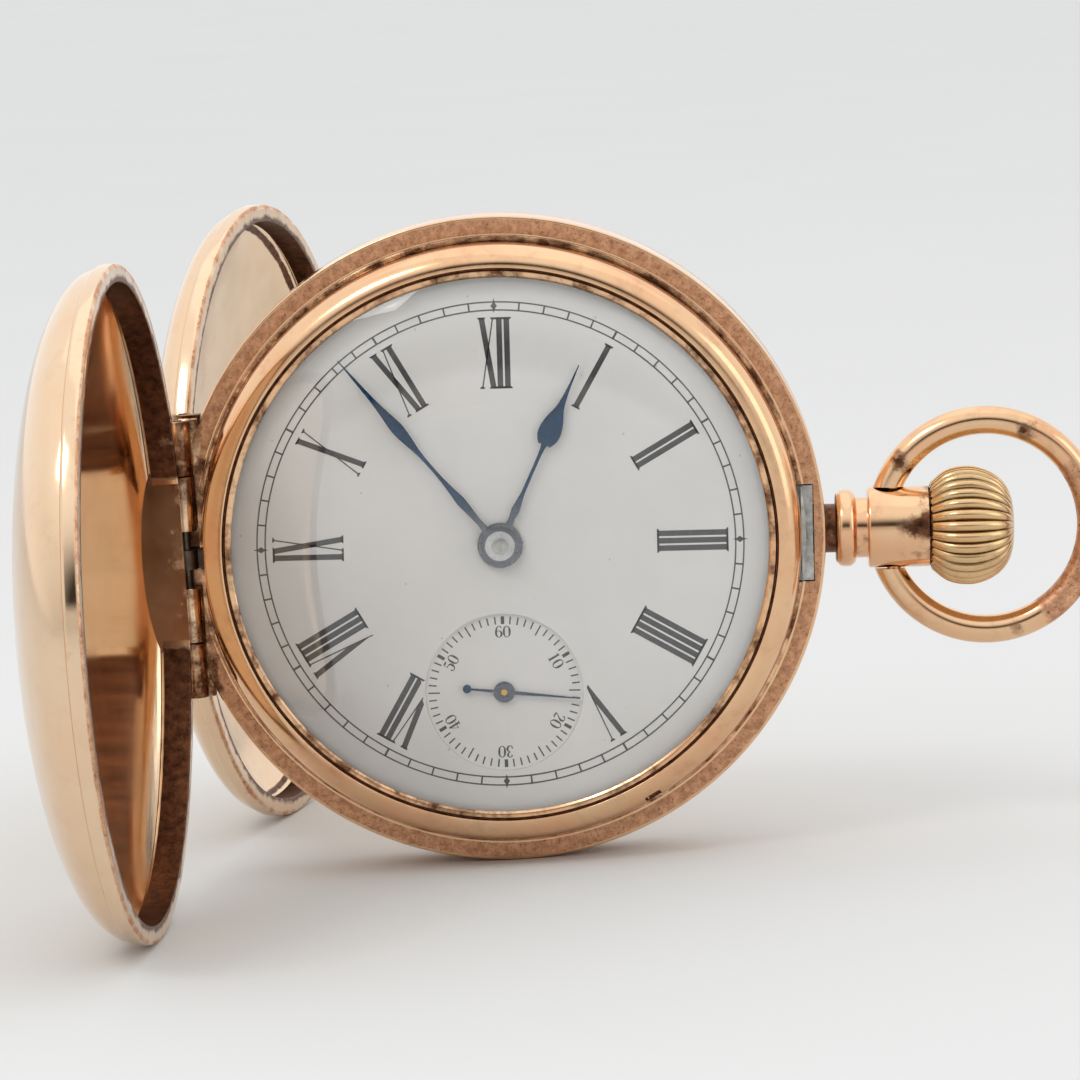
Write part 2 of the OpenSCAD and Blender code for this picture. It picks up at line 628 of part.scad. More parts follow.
// Motion work under the dial
motion_module = 2 * motion_dist / (CANNON_TEETH + MINUTE_TEETH);
hour_module = 2 * motion_dist / (MINUTE_PINION + HOUR_TEETH);
setting_at = minute_at + polar(motion_module * (MINUTE_TEETH + SETTING_TEETH) / 2, 12);
motion_back = motion_floor - 0.2;
post_r = 0.35;
mesh_turn = 180 / MINUTE_TEETH;
module cannon_pinion() color("#9aa0a6") works() difference() {
    union() {
        rod_y(cannon_r, minute_y - 0.15, motion_floor - 0.1);
        rod_y(1.15, minute_y - 0.15, minute_y - eps);
        slab(motion_back - 0.35, motion_floor - 0.1) toothed(CANNON_TEETH, motion_module, motion_dir);
    }
    rod_y(arbor_r + eps, post_tip - 1, motion_floor + 1);
}
module hour_wheel() color("#c9a557") works() difference() {
    union() {
        slab(plate_front + 0.15, plate_front + 0.4) toothed(HOUR_TEETH, hour_module, motion_dir);
        rod_y(hour_pipe_r, hour_y, plate_front + 0.4);
    }
    rod_y(cannon_r + run_gap, post_tip - 1, motion_floor);
}
module minute_wheel() color("#c9a557") works() at(minute_at) difference() {
    union() {
        wheel(MINUTE_TEETH, motion_module, motion_back - wheel_t, motion_back, 4, 1, motion_dir + 180 + mesh_turn);
        slab(plate_front + 0.1, motion_back) toothed(MINUTE_PINION, hour_module, motion_dir);
    }
    rod_y(post_r + run_gap, plate_front - 1, motion_floor + 1);
}
module setting_wheel() color("#9aa0a6") works() at(setting_at) slab(motion_back - wheel_t, motion_back) difference() {
    toothed(SETTING_TEETH, motion_module, 12);
    circle(post_r + run_gap);
}

// Plates and bridges
pivot_r = 0.2;
jewel_r = 0.7;
jewel_t = 0.45;
pillar_r = plate_r - 0.5;
pillar_wall = 1.15;
bridge_r = plate_r - 0.2;
balance_room = balance_r + 0.55;
barrel_shaft_r = 0.7;
seat_line = -2.05;
cock_x = -10.15;
train_arbors = [third_at, fourth_at, escape_at];
screw_shank_r = 0.4;
screw_sink = 0.5;
screw_at_r = pillar_r - 0.65;
screw_places = [95, 52, 16, -35, -78, -112];
cock_screw = polar(18.3, 158);
module main_plate() color("#c4b07c") works() {
    difference() {
        rod_y(plate_r, plate_front, plate_back);
        slab(plate_front - 1, motion_floor) {
            circle(4.6);
            translate(minute_at) circle(4.2);
            translate(setting_at) circle(2.2);
        }
        rod_y(arbor_r + run_gap, plate_front - 1, plate_back + 1);
        at(fourth_at) rod_y(seconds_arbor_r + run_gap, plate_front - 1, plate_back + 1);
        for (p = concat(train_arbors, [pallet_at, balance_at])) at(p) rod_y(jewel_r, plate_back - jewel_t, plate_back + 1);
        for (p = [third_at, escape_at, pallet_at, balance_at]) at(p) rod_y(pivot_r + run_gap, plate_back - 1, plate_back);
        at(barrel_at) rod_y(barrel_shaft_r + run_gap, plate_back - 1.2, plate_back + 1);
        feet(0.5 + run_gap, plate_front - 1, dial_back + 1.45);
    }
    for (p = [minute_at, setting_at]) at(p) rod_y(post_r, plate_front + 0.1, motion_floor + eps);
    for (p = lever_posts) at(p) rod_y(post_r, plate_back - eps, plate_back + 0.4);
    at(yoke_pivot) rod_y(0.6, plate_back - eps, plate_back + 0.4);
    at(yoke_pivot) rod_y(post_r, plate_back, plate_back + 0.8);
}
module above_line() translate([-30, seat_line + face_gap]) square([60, 40]);
module below_line() translate([-30, seat_line - face_gap - 40]) square([60, 40]);
module screw_holes(places) for (p = places) at(polar(screw_at_r, p)) {
    rod_y(screw_head_r + 0.05, bridge_back - screw_sink, bridge_back + 1);
    rod_y(screw_shank_r + run_gap, bridge_back - 3.1, bridge_back + 1);
}
module bridge_body() {
    slab(bridge_front, bridge_back) intersection() {
        circle(bridge_r);
        children();
    }
    slab(plate_back, bridge_front + eps) intersection() {
        difference() {
            circle(pillar_r);
            circle(pillar_r - pillar_wall);
            translate([10, -3.2]) square([20, 6.4]);
        }
        children();
    }
}
pinion_room = winding_pinion_r + 0.25;
ring_r = 3.2;
module barrel_bridge() color("#cdb987") works() {
    at(click_at) rod_y(click_stud_r, bridge_back - eps, top_wheel_y + 0.5);
    barrel_bridge_plate();
}
module crown_wheel_room() at(crown_wheel_at) washer(ring_r + 0.7, ring_r - 0.7, bridge_front + 0.45, bridge_back + 1);
module barrel_bridge_plate() difference() {
    bridge_body() difference() {
        above_line();
        translate([-30, -5]) square([30 + cock_x + face_gap, 50]);
        translate(balance_at) circle(balance_room);
    }
    rod_y(pivot_r + 0.1 + run_gap, bridge_front - 1, bridge_back + 1);
    at(barrel_at) rod_y(barrel_shaft_r + run_gap, bridge_front - 1, bridge_back + 1);
    on_stem() block(10.4, plate_r + 1, -pinion_room, pinion_room, -pinion_room, pinion_room);
    crown_wheel_room();
    at(crown_wheel_at) rod_y(0.6, bridge_front + 0.45, bridge_back + 1);
    screw_holes([for (i = [0:2]) screw_places[i]]);
}
module train_bridge() color("#cdb987") works() difference() {
    bridge_body() difference() {
        below_line();
        translate(balance_at) circle(balance_room);
    }
    for (p = train_arbors) at(p) {
        rod_y(pivot_r + run_gap, bridge_front - 1, bridge_back + 1);
        rod_y(jewel_r, bridge_back - jewel_t, bridge_back + 1);
    }
    crown_wheel_room();
    screw_holes([for (i = [3:5]) screw_places[i]]);
}
module balance_cock() color("#cdb987") works() difference() {
    union() {
        slab(plate_back, bridge_back) intersection() {
            circle(bridge_r);
            difference() {
                translate([-30, 3.4]) square([30 + cock_x - face_gap, 30]);
                translate(balance_at) circle(balance_room);
            }
        }
        slab(cock_front, bridge_back) hull() {
            translate(balance_at) circle(2, $fn=32);
            translate([-13.2, 6.4]) circle(2.2, $fn=32);
        }
    }
    at(balance_at) rod_y(pivot_r + run_gap, cock_front - 1, bridge_back + 1);
    at(balance_at) rod_y(jewel_r, bridge_back - jewel_t, bridge_back + 1);
    at(cock_screw) {
        rod_y(screw_head_r + 0.05, bridge_back - screw_sink, bridge_back + 1);
        rod_y(screw_shank_r + run_gap, bridge_back - 3.1, bridge_back + 1);
    }
}
module bridge_screws() color("#3f4a66") works() {
    for (p = concat([for (a = screw_places) polar(screw_at_r, a)], [cock_screw])) at(p)
        screw(screw_head_r, screw_sink, bridge_back - screw_sink, 2.4, screw_shank_r);
}
pallet_foot = [-12.6, -13];
module pallet_bridge() color("#cdb987") works() difference() {
    union() {
        slab(plate_back + 2, plate_back + 2.5) hull() {
            translate(pallet_at) circle(1, $fn=32);
            translate(pallet_foot) circle(1.3, $fn=32);
        }
        at(pallet_foot) rod_y(1.1, plate_back, plate_back + 2.2);
    }
    at(pallet_at) rod_y(pivot_r + run_gap, plate_back + 1, plate_back + 3);
}
module jewel(y0) washer(jewel_r - eps, pivot_r + run_gap, y0, y0 + jewel_t - eps);
module plate_jewels() color("#a83246") works() {
    for (p = train_arbors) at(p) jewel(bridge_back - jewel_t);
    at(balance_at) jewel(bridge_back - jewel_t);
    for (p = [third_at, escape_at, pallet_at, balance_at]) at(p) jewel(plate_back - jewel_t + eps);
    at(fourth_at) washer(jewel_r - eps, seconds_arbor_r + run_gap, plate_back - jewel_t + eps, plate_back);
}
module movement_screws() color("#3f4a66") works() case_screw_places()
    screw(case_head_r, 0.35, bridge_back, 1.7, case_screw_r);

// Going train
third_turn = atan2(third_at[1], third_at[0]);
fourth_turn = atan2(fourth_at[1] - third_at[1], fourth_at[0] - third_at[0]);
escape_turn = 200;
barrel_module = 2 * barrel_dist / (BARREL_TEETH + CENTRE_PINION);
drum_r = barrel_module * BARREL_TEETH / 2 - 0.6;
drum_back = barrel_front + barrel_h;
spring_r = drum_r - 0.6;
hub_r = 1.6;
module spiral(r0, r1, turns, t) {
    n = turns * 16;
    outer = [for (i = [0:n]) polar(r0 + (r1 - r0) * i / n, 360 * turns * i / n)];
    inner = [for (i = [n:-1:0]) polar(r0 + t + (r1 - r0) * i / n, 360 * turns * i / n)];
    polygon(concat(outer, inner));
}
module pinion(teeth, m, y0, y1, turn) slab(y0, y1) toothed(teeth, m, turn);
module centre_wheel() color("#c9a557") works() {
    wheel(CENTRE_TEETH, train_module, plate_back + 2.43, plate_back + 2.63, 5, 1, third_turn);
    pinion(CENTRE_PINION, barrel_module, plate_back + 0.1, plate_back + 1, barrel_dir + 15);
    arbor(post_tip, plate_back + 0.1);
    arbor(plate_back + 0.1, bridge_front - 0.1, 0.7);
    arbor(bridge_front - 0.2, bridge_back - 0.1, pivot_r + 0.1);
}
module train_arbor() {
    arbor(plate_back + 0.05, bridge_front - 0.05);
    arbor(plate_back - 0.4, bridge_back - 0.1, pivot_r);
}
module third_wheel() color("#c9a557") works() at(third_at) {
    wheel(THIRD_TEETH, train_module, plate_back + 1.6, plate_back + 1.85, 5, 0.8, fourth_turn);
    pinion(THIRD_PINION, train_module, plate_back + 2.35, plate_back + 2.8, third_turn + 180 + 22.5);
    train_arbor();
}
module fourth_wheel() color("#c9a557") works() at(fourth_at) {
    wheel(FOURTH_TEETH, fourth_module, plate_back + 0.6, plate_back + 0.85, 5, 0.8, escape_turn);
    pinion(FOURTH_PINION, train_module, plate_back + 1.5, plate_back + 2, fourth_turn + 180 + 22.5);
    arbor(plate_back + 0.05, bridge_front - 0.05);
    arbor(second_y - 0.08, plate_back + 0.1, seconds_arbor_r);
    arbor(bridge_front - 0.1, bridge_back - 0.1, pivot_r);
}
module escape_wheel() color("#c9a557") works() at(escape_at) {
    slab(escape_y, escape_y + wheel_t) difference() {
        union() {
            circle(escape_r - 0.9);
            for (i = [0:ESCAPE_TEETH - 1]) rotate(i * 360 / ESCAPE_TEETH)
                polygon([[escape_r - 1, -0.32], [escape_r, 0.28], [escape_r, 0.4], [escape_r - 1, 0.32]]);
        }
        difference() {
            circle(escape_r - 1.3);
            circle(0.7);
            for (i = [0:3]) rotate(90 * i) translate([0, -0.15]) square([escape_r, 0.3]);
        }
    }
    pinion(ESCAPE_PINION, fourth_module, plate_back + 0.5, plate_back + 0.95, escape_turn + 180 + 180 / ESCAPE_PINION);
    train_arbor();
}
module mainspring_barrel() color("#c2a15e") works() at(barrel_at) difference() {
    union() {
        rod_y(drum_r, barrel_front, drum_back);
        slab(barrel_front, barrel_front + 0.7) toothed(BARREL_TEETH, barrel_module, barrel_dir + 180);
    }
    rod_y(drum_r - 0.4, barrel_front + 0.35, drum_back - 0.3);
    rod_y(barrel_shaft_r + run_gap, barrel_front - 1, drum_back + 1);
}
module barrel_arbor() color("#8e9094") works() at(barrel_at) difference() {
    union() {
        arbor(plate_back - 1.1, top_wheel_y + top_wheel_t, barrel_shaft_r);
        arbor(barrel_front + 0.4, drum_back - 0.35, hub_r);
    }
    rod_y(0.38, top_wheel_y - 0.5, top_wheel_y + top_wheel_t + 1);
}
module mainspring() color("#54606f") works() at(barrel_at) slab(barrel_front + 0.45, drum_back - 0.4)
    spiral(hub_r + 0.05, spring_r, 7, spiral_t);

// Winding and setting work
ratchet_module = 2 * ratchet_r / RATCHET_TEETH;
crown_module = 2 * crown_wheel_r / CROWN_WHEEL_TEETH;
ratchet_turn = atan2(crown_wheel_at[1] - barrel_at[1], crown_wheel_at[0] - barrel_at[0]);
module top_wheel_slab() slab(top_wheel_y, top_wheel_y + top_wheel_t) children();
module ratchet_wheel() color("#a7abb0") works() at(barrel_at) top_wheel_slab() difference() {
    toothed(RATCHET_TEETH, ratchet_module, ratchet_turn);
    circle(barrel_shaft_r + 0.01);
}
module ratchet_screw() color("#3f4a66") works() at(barrel_at)
    screw(1.3, 0.3, top_wheel_y + top_wheel_t, 0.85, 0.35);
shoulder_r = 1.15;
module crown_wheel() color("#a7abb0") works() at(crown_wheel_at) {
    top_wheel_slab() difference() {
        toothed(CROWN_WHEEL_TEETH, crown_module, ratchet_turn + 180 + 180 / CROWN_WHEEL_TEETH);
        circle(shoulder_r + run_gap);
    }
    slab(stem_y + winding_pinion_r + 0.03, top_wheel_y + eps) difference() {
        toothed(CROWN_WHEEL_TEETH, 2 * ring_r / CROWN_WHEEL_TEETH, 0);
        circle(ring_r - 0.35);
    }
}
module crown_wheel_screw() color("#3f4a66") works() at(crown_wheel_at) {
    screw(1.9, 0.3, top_wheel_y + top_wheel_t + 0.05, 0.1, shoulder_r);
    rod_y(shoulder_r, bridge_back, top_wheel_y + top_wheel_t + 0.06);
    rod_y(0.57, bridge_back - 0.8, bridge_back + eps);
}
click_at = [-3.6, 9.8];
click_tip = barrel_at + polar(ratchet_r + 0.4, 205);
click_stud_r = 0.45;
module click() color("#a7abb0") works() slab(top_wheel_y, top_wheel_y + 0.4) difference() {
    hull() {
        translate(click_at) circle(0.95, $fn=32);
        translate(click_tip) circle(0.2, $fn=32);
    }
    translate(click_at) circle(click_stud_r + run_gap);
}
module click_spring() color("#54606f") works() slab(bridge_back, bridge_back + 0.3) {
    translate(click_spring_at) circle(0.6);
    translate(click_spring_at) rotate(-48) translate([0, -0.12]) square([6.2, 0.24]);
}
click_spring_at = [-8.2, 11.3];
pinion_x = crown_wheel_x + ring_r;
clutch_x = pinion_x - 1.85;
module winding_stem() color("#8e9094") works() on_stem() difference() {
    rod_x(stem_r, clutch_x - clutch_half - clutch_travel - 0.5, band_bore_r - 0.3);
    rod_x(shank_r + run_gap, catch_x1 - 4 - press_travel - 0.2, band_bore_r);
}
module across_stem(x0, x1) translate([x0, 0, 0]) rotate([0, 90, 0]) linear_extrude(x1 - x0) children();
module winding_pinion() color("#a7abb0") works() on_stem() across_stem(pinion_x - 0.6, pinion_x + 0.6) difference() {
    toothed(15, 2 * (winding_pinion_r - 0.1) / 15);
    circle(stem_r + eps);
}
clutch_half = 0.85;
clutch_groove = 0.2;
clutch_r = 1.1;
module sliding_clutch() color("#a7abb0") works() on_stem() turned_x() polygon([
    [stem_r + run_gap, clutch_x - clutch_half], [clutch_r, clutch_x - clutch_half],
    [clutch_r, clutch_x - clutch_groove], [0.8, clutch_x - clutch_groove],
    [0.8, clutch_x + clutch_groove], [clutch_r, clutch_x + clutch_groove],
    [clutch_r, clutch_x + clutch_half], [stem_r + run_gap, clutch_x + clutch_half]
]);
lever_posts = [[13.5, -5.2], [16.2, -5.2]];
lever_end = 17.1;
lever_w = 1.6;
lever_arm = [0.8, 2.9];
yoke_pivot = [clutch_x - 0.2, -7];
module setting_lever() color("#a7abb0") works() slab(plate_back + 0.05, plate_back + 0.35) difference() {
    union() {
        translate([lever_posts[0][0] - clutch_travel - lever_w / 2, lever_posts[0][1] - lever_w / 2])
            square([lever_end - lever_posts[0][0] + clutch_travel + lever_w / 2, lever_w]);
        translate([lever_posts[0][0] - 0.2, lever_posts[0][1]]) square(lever_arm);
    }
    for (p = lever_posts) translate(p) {
        circle(post_r + run_gap);
        translate([-clutch_travel, 0]) circle(post_r + run_gap);
        translate([-clutch_travel, -post_r - run_gap]) square([clutch_travel, 2 * (post_r + run_gap)]);
    }
}
module yoke_lever() color("#a7abb0") works() {
    slab(plate_back + 0.45, plate_back + 0.75) difference() {
        hull() {
            translate(yoke_pivot) circle(0.7, $fn=32);
            translate([clutch_x, 0]) circle(0.25, $fn=32);
        }
        translate(yoke_pivot) circle(post_r + run_gap);
    }
    at([clutch_x, 0]) rod_y(0.12, plate_back + 0.5, stem_y - 0.88);
}

// Escapement and balance
fork_y = escape_y + 0.3;
stone_spread = 32;
stone_r = escape_r + 0.55;
stones = [for (s = [-1, 1]) escape_at + polar(stone_r, balance_dir + s * stone_spread)];
module bar(p, q, r) hull() {
    translate(p) circle(r, $fn=32);
    translate(q) circle(r, $fn=32);
}
module pallet_fork() color("#a7abb0") works() {
    slab(fork_y, fork_y + wheel_t) {
        for (p = stones) bar(pallet_at, p, 0.3);
        bar(pallet_at, pallet_at + polar(3.6, balance_dir), 0.22);
        for (s = [-1, 1]) bar(pallet_at + polar(3.6, balance_dir), pallet_at + polar(3.95, balance_dir + s * 7), 0.12);
    }
    at(pallet_at) {
        arbor(plate_back + 0.05, plate_back + 1.95, 0.3);
        arbor(plate_back - 0.4, plate_back + 2.4, pivot_r);
    }
}
module pallet_stones() color("#a83246") works() for (p = stones) at(p) slab(escape_y, fork_y) rotate(balance_dir)
    square([0.3, 0.5], center=true);
module balance_wheel() color("#c9a557") works() at(balance_at) slab(balance_y, balance_y + balance_h) difference() {
    union() {
        difference() {
            circle(balance_r);
            circle(balance_r - 0.7);
        }
        translate([-balance_r + 0.3, -0.45]) square([2 * balance_r - 0.6, 0.9]);
        circle(1.1);
    }
    circle(arbor_r + 0.01);
    for (a = [12, 192]) rotate(a) translate([balance_r - 1, -0.15]) square([2, 0.3]);
}
timing_screws = 14;
module balance_screws() color("#d8b45e") works() at(balance_at) for (i = [0:timing_screws - 1])
    radial(360 * (i + 0.5) / timing_screws) translate([0, balance_y + balance_h / 2, 0])
        rod_x(0.26, balance_r, balance_r + 0.42);
stud_dir = 103;
collet_r = 0.58;
module balance_staff() color("#8e9094") works() at(balance_at) {
    arbor(plate_back + 0.05, cock_front - 0.05);
    arbor(plate_back - 0.4, bridge_back - 0.1, pivot_r);
    arbor(plate_back + 1, plate_back + 1.3, 1.5);
    arbor(cock_front - 0.35, cock_front - 0.1, collet_r);
    at(polar(1.2, balance_dir + 180)) rod_y(0.15, plate_back + 1.2, plate_back + 1.7);
}
module hairspring() color("#4b5d86") works() at(balance_at) {
    slab(cock_front - 0.3, cock_front - 0.15) rotate(stud_dir) spiral(collet_r + eps, 3.4, 8, 0.07);
    at(polar(3.43, stud_dir)) rod_y(0.2, cock_front - 0.35, cock_front);
}
module regulator() color("#a7abb0") works() at(balance_at) slab(bridge_back + 0.03, bridge_back + 0.25) difference() {
    union() {
        circle(1.5);
        rotate(110) translate([0, -0.2]) square([5.4, 0.4]);
    }
    circle(1);
}
case_band();
pendant_neck();
pendant_sleeve();
case_stem();
crown();
bow();
front_lid();
rear_lid();
dust_cover();
bezel();
crystal();
front_hinge_pin();
rear_hinge_pin();
dust_cover_hinge_pin();
lock_spring();
lift_spring();
case_spring_screws();
movement_screws();
dial();
seconds_sub_dial();
dial_feet();
hour_hand();
minute_hand();
second_hand();
main_plate();
barrel_bridge();
train_bridge();
balance_cock();
pallet_bridge();
bridge_screws();
mainspring_barrel();
barrel_arbor();
mainspring();
ratchet_wheel();
ratchet_screw();
crown_wheel();
crown_wheel_screw();
click();
click_spring();
centre_wheel();
third_wheel();
fourth_wheel();
escape_wheel();
pallet_fork();
pallet_stones();
balance_wheel();
balance_screws();
balance_staff();
hairspring();
regulator();
cannon_pinion();
minute_wheel();
hour_wheel();
winding_stem();
winding_pinion();
sliding_clutch();
setting_lever();
yoke_lever();
setting_wheel();
plate_jewels();
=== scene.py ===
"""Full hunter pocket watch, standing on its rims with both lids open.

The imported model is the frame: metres, +Y from the dial to the back, +Z up, +X toward the crown.
Every visible piece is dressed here, and rides on the body that carries it.
"""

from math import atan2, cos, degrees, pi, radians, sin, sqrt

import bmesh
import bpy
from mathutils import Matrix, Vector


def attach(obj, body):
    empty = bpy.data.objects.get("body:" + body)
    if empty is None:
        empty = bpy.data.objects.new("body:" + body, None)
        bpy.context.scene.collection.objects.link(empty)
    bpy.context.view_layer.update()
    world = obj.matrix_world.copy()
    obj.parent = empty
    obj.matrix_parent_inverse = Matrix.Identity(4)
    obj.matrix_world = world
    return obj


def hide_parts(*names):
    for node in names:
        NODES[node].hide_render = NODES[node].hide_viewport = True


bl_info = {
    "name": "Hunter pocket watch",
    "version": (1, 0, 0),
    "blender": (4, 5, 0),
    "location": "3D View > Sidebar > Watch",
    "description": "Dresses a hunter pocket watch with its lids, dial, hands, crown and bow",
    "category": "Object",
}

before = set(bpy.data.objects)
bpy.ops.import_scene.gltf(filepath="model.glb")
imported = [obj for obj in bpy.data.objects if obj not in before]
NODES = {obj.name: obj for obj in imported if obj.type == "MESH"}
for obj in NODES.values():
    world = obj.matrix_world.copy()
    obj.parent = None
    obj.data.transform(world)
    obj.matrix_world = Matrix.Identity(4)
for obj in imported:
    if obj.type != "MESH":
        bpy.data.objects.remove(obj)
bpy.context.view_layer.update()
MM = 0.001
FULL_TURN = 2 * pi
ROUND_STEPS = 192


def linear(code):
    """An sRGB hex colour as linear red, green, blue."""
    parts = [int(code[i:i + 2], 16) / 255 for i in (1, 3, 5)]
    return tuple(c / 12.92 if c <= 0.04045 else ((c + 0.055) / 1.055) ** 2.4 for c in parts)


def rgba(tone):
    """A hex code or a linear colour with full alpha, as node sockets take it."""
    return (*(linear(tone) if isinstance(tone, str) else tone[:3]), 1.0)


def per_mm(size):
    """Texture scale that gives features of this size in millimetres."""
    return 1 / (size * MM)


# Sizes that repeat the part's own, in millimetres
CASE_R = 25.2
BAND_DEPTH = 5.0
BORE_R = 21.6
LIP_INNER_R = 23.8
HINGE_X = 24.5
HINGE_LEN = 21.8
KNUCKLE_R = 0.95
KNUCKLE_GAP = 0.1
HINGE_ROOM = 1.05
LID_FLAT_X = 23.45
BEZEL_FLAT_X = 22.95
COLLAR_R = 22.6
WORKS_TURN = radians(2.2)
STEM_Y = 2.5
DIAL_Y = -2.6
DIAL_BACK_Y = -1.8
DIAL_R = 21.3
WELL_DEPTH = 0.2
GLASS_EDGE_Y = -3.45
SECONDS_DROP = 11.5
SECONDS_R = 6.1
CROWN_X = 33.4
CROWN_LEN = 6.5
BOW_PIVOT_X = 30.5
BOW_RING_R = 8.2
BOW_X = 37.713


def shifted(x, y, z):
    """A move by so many millimetres."""
    return Matrix.Translation(Vector((x, y, z)) * MM)


def works(x=0.0, y=0.0, z=0.0):
    """Places what is drawn in the movement's own directions, which stand turned from the hinges."""
    return Matrix.Rotation(WORKS_TURN, 4, "Y") @ shifted(x, y, z)


def length_setting(name, description, size):
    """A length in the panel, written in millimetres."""
    return bpy.props.FloatProperty(name=name, description=description, default=size * MM, unit="LENGTH")


def opening_setting(name, description, angle):
    """An angle in the panel, written in degrees."""
    return bpy.props.FloatProperty(name=name, description=description, default=radians(angle), subtype="ANGLE")


def colour_setting(name, description, code):
    """A colour in the panel, written as sRGB hex."""
    return bpy.props.FloatVectorProperty(name=name, description=description, default=linear(code), subtype="COLOR")


class WatchSizes(bpy.types.PropertyGroup):
    """Sizes of the dressed pieces."""
    front_lid_height: length_setting("Front lid height", "From its rim to its crown", 7.8)
    rear_lid_height: length_setting("Rear lid height", "From its rim to its crown", 6.5)
    front_lid_open: opening_setting("Front lid opening", "How far the front lid stands open", 93.8)
    rear_lid_open: opening_setting("Rear lid opening", "How far the rear lid stands open", 77.5)
    bezel_opening: length_setting("Bezel opening", "Radius of the opening in the bezel", 20.75)
    crown_radius: length_setting("Crown radius", "Over the tops of the flutes", 4.65)
    bow_wire: length_setting("Bow wire radius", "Radius of the bow's round wire", 1.1)
    minute_hand: length_setting("Minute hand length", "From the middle to its tip", 18.9)
    hour_hand: length_setting("Hour hand length", "From the middle to its tip", 15.2)
    seconds_hand: length_setting("Seconds hand length", "From its pivot to its tip", 5.9)


class WatchColours(bpy.types.PropertyGroup):
    """Colours of the finishes."""
    case_gold: colour_setting("Case gold", "Polished rose gold of band and bezel", "#E9C199")
    lid_gold: colour_setting("Lid gold", "Paler gold of the lids", "#EACDAD")
    worn_gold: colour_setting("Worn gold", "Matt pinkish metal where the rim has worn", "#E2AF8A")
    crown_gold: colour_setting("Crown gold", "Yellower gold of the crown", "#D9B98A")
    enamel: colour_setting("Enamel", "White of the dial", "#EFEEEC")
    print_black: colour_setting("Print", "Black of the fired print", "#444446")
    hand_blue: colour_setting("Blued steel", "Blue of the tempered hands", "#1D4565")
    floor: colour_setting("Floor", "Pale paper floor", "#D9DADA")


def sizes():
    return bpy.context.scene.watch_sizes


def colours():
    return bpy.context.scene.watch_colours


# Small tools for nodes and meshes

def add(tree, kind, inputs=None, **settings):
    """Adds a node with its settings, and fills or links its inputs."""
    node = tree.nodes.new(kind)
    for name, value in settings.items():
        setattr(node, name, value)
    for name, value in (inputs or {}).items():
        if isinstance(value, bpy.types.NodeSocket):
            tree.links.new(value, node.inputs[name])
        else:
            node.inputs[name].default_value = value
    return node


def start_material(name):
    """An empty node material, its tree and its place on the object."""
    made = bpy.data.materials.new(name)
    made.use_nodes = True
    made.node_tree.nodes.clear()
    return made, made.node_tree, add(made.node_tree, "ShaderNodeTexCoord").outputs["Object"]


def noise(tree, place, size, detail, roughness=0.5):
    """Noise with features of a size in millimetres."""
    return add(tree, "ShaderNodeTexNoise", {
        "Vector": place, "Scale": per_mm(size), "Detail": detail, "Roughness": roughness}).outputs[0]


def close_material(tree, inputs):
    """Ends a material in one Principled shader."""
    shader = add(tree, "ShaderNodeBsdfPrincipled", inputs)
    add(tree, "ShaderNodeOutputMaterial", {"Surface": shader.outputs[0]})
    return shader


def blend(tree, factor, first, second):
    """The colour between two, by a factor."""
    return add(tree, "ShaderNodeMix", {0: factor, 6: first, 7: second}, data_type="RGBA").outputs[2]


def spread(tree, value, low, high, to_low, to_high):
    """A value moved from one range to another."""
    return add(tree, "ShaderNodeMapRange", {
        "Value": value, "From Min": low, "From Max": high, "To Min": to_low, "To Max": to_high}).outputs[0]


def deselect():
    bpy.ops.object.select_all(action="DESELECT")


def take(piece):
    """Makes a piece the one that is selected and active."""
    deselect()
    piece.select_set(True)
    bpy.context.view_layer.objects.active = piece


def select(which):
    bpy.ops.mesh.select_all(action=which)


def in_edit(piece):
    """Opens a piece in edit mode with all of it selected."""
    take(piece)
    bpy.ops.object.mode_set(mode="EDIT")
    select("SELECT")


def out_of_edit():
    bpy.ops.object.mode_set(mode="OBJECT")


def close_up():
    """Turns all faces outward and leaves edit mode."""
    select("SELECT")
    bpy.ops.mesh.normals_make_consistent(inside=False)
    out_of_edit()


def smooth(piece, angle=35):
    """Smooth shading with sharp edges kept."""
    take(piece)
    bpy.ops.object.shade_smooth_by_angle(angle=radians(angle))


def tidy_mesh(piece, gap=2e-6):
    """Merges doubles, drops empty faces and loose edges, and turns the faces outward."""
    in_edit(piece)
    bpy.ops.mesh.remove_doubles(threshold=gap)
    bpy.ops.mesh.dissolve_degenerate(threshold=gap)
    bpy.ops.mesh.delete_loose()
    close_up()


def loop(name, points):
    """A closed loop of edges through these points, in metres."""
    deselect()
    bpy.ops.mesh.primitive_circle_add(vertices=len(points), radius=MM)
    piece = bpy.context.object
    piece.name = name
    for corner, point in zip(piece.data.vertices, points):
        corner.co = point
    return piece


def turned(name, profile, axis="Y", steps=ROUND_STEPS, angle=35):
    """A solid turned from a closed profile of (radius, place along the axis), in millimetres."""
    if axis == "Y":
        piece = loop(name, [Vector((r, a, 0)) * MM for r, a in profile])
        direction = (0, 1, 0)
    else:
        piece = loop(name, [Vector((a, 0, r)) * MM for r, a in profile])
        direction = (1, 0, 0)
    in_edit(piece)
    bpy.ops.mesh.spin(steps=steps, angle=FULL_TURN, center=(0, 0, 0), axis=direction)
    out_of_edit()
    tidy_mesh(piece)
    smooth(piece, angle)
    return piece


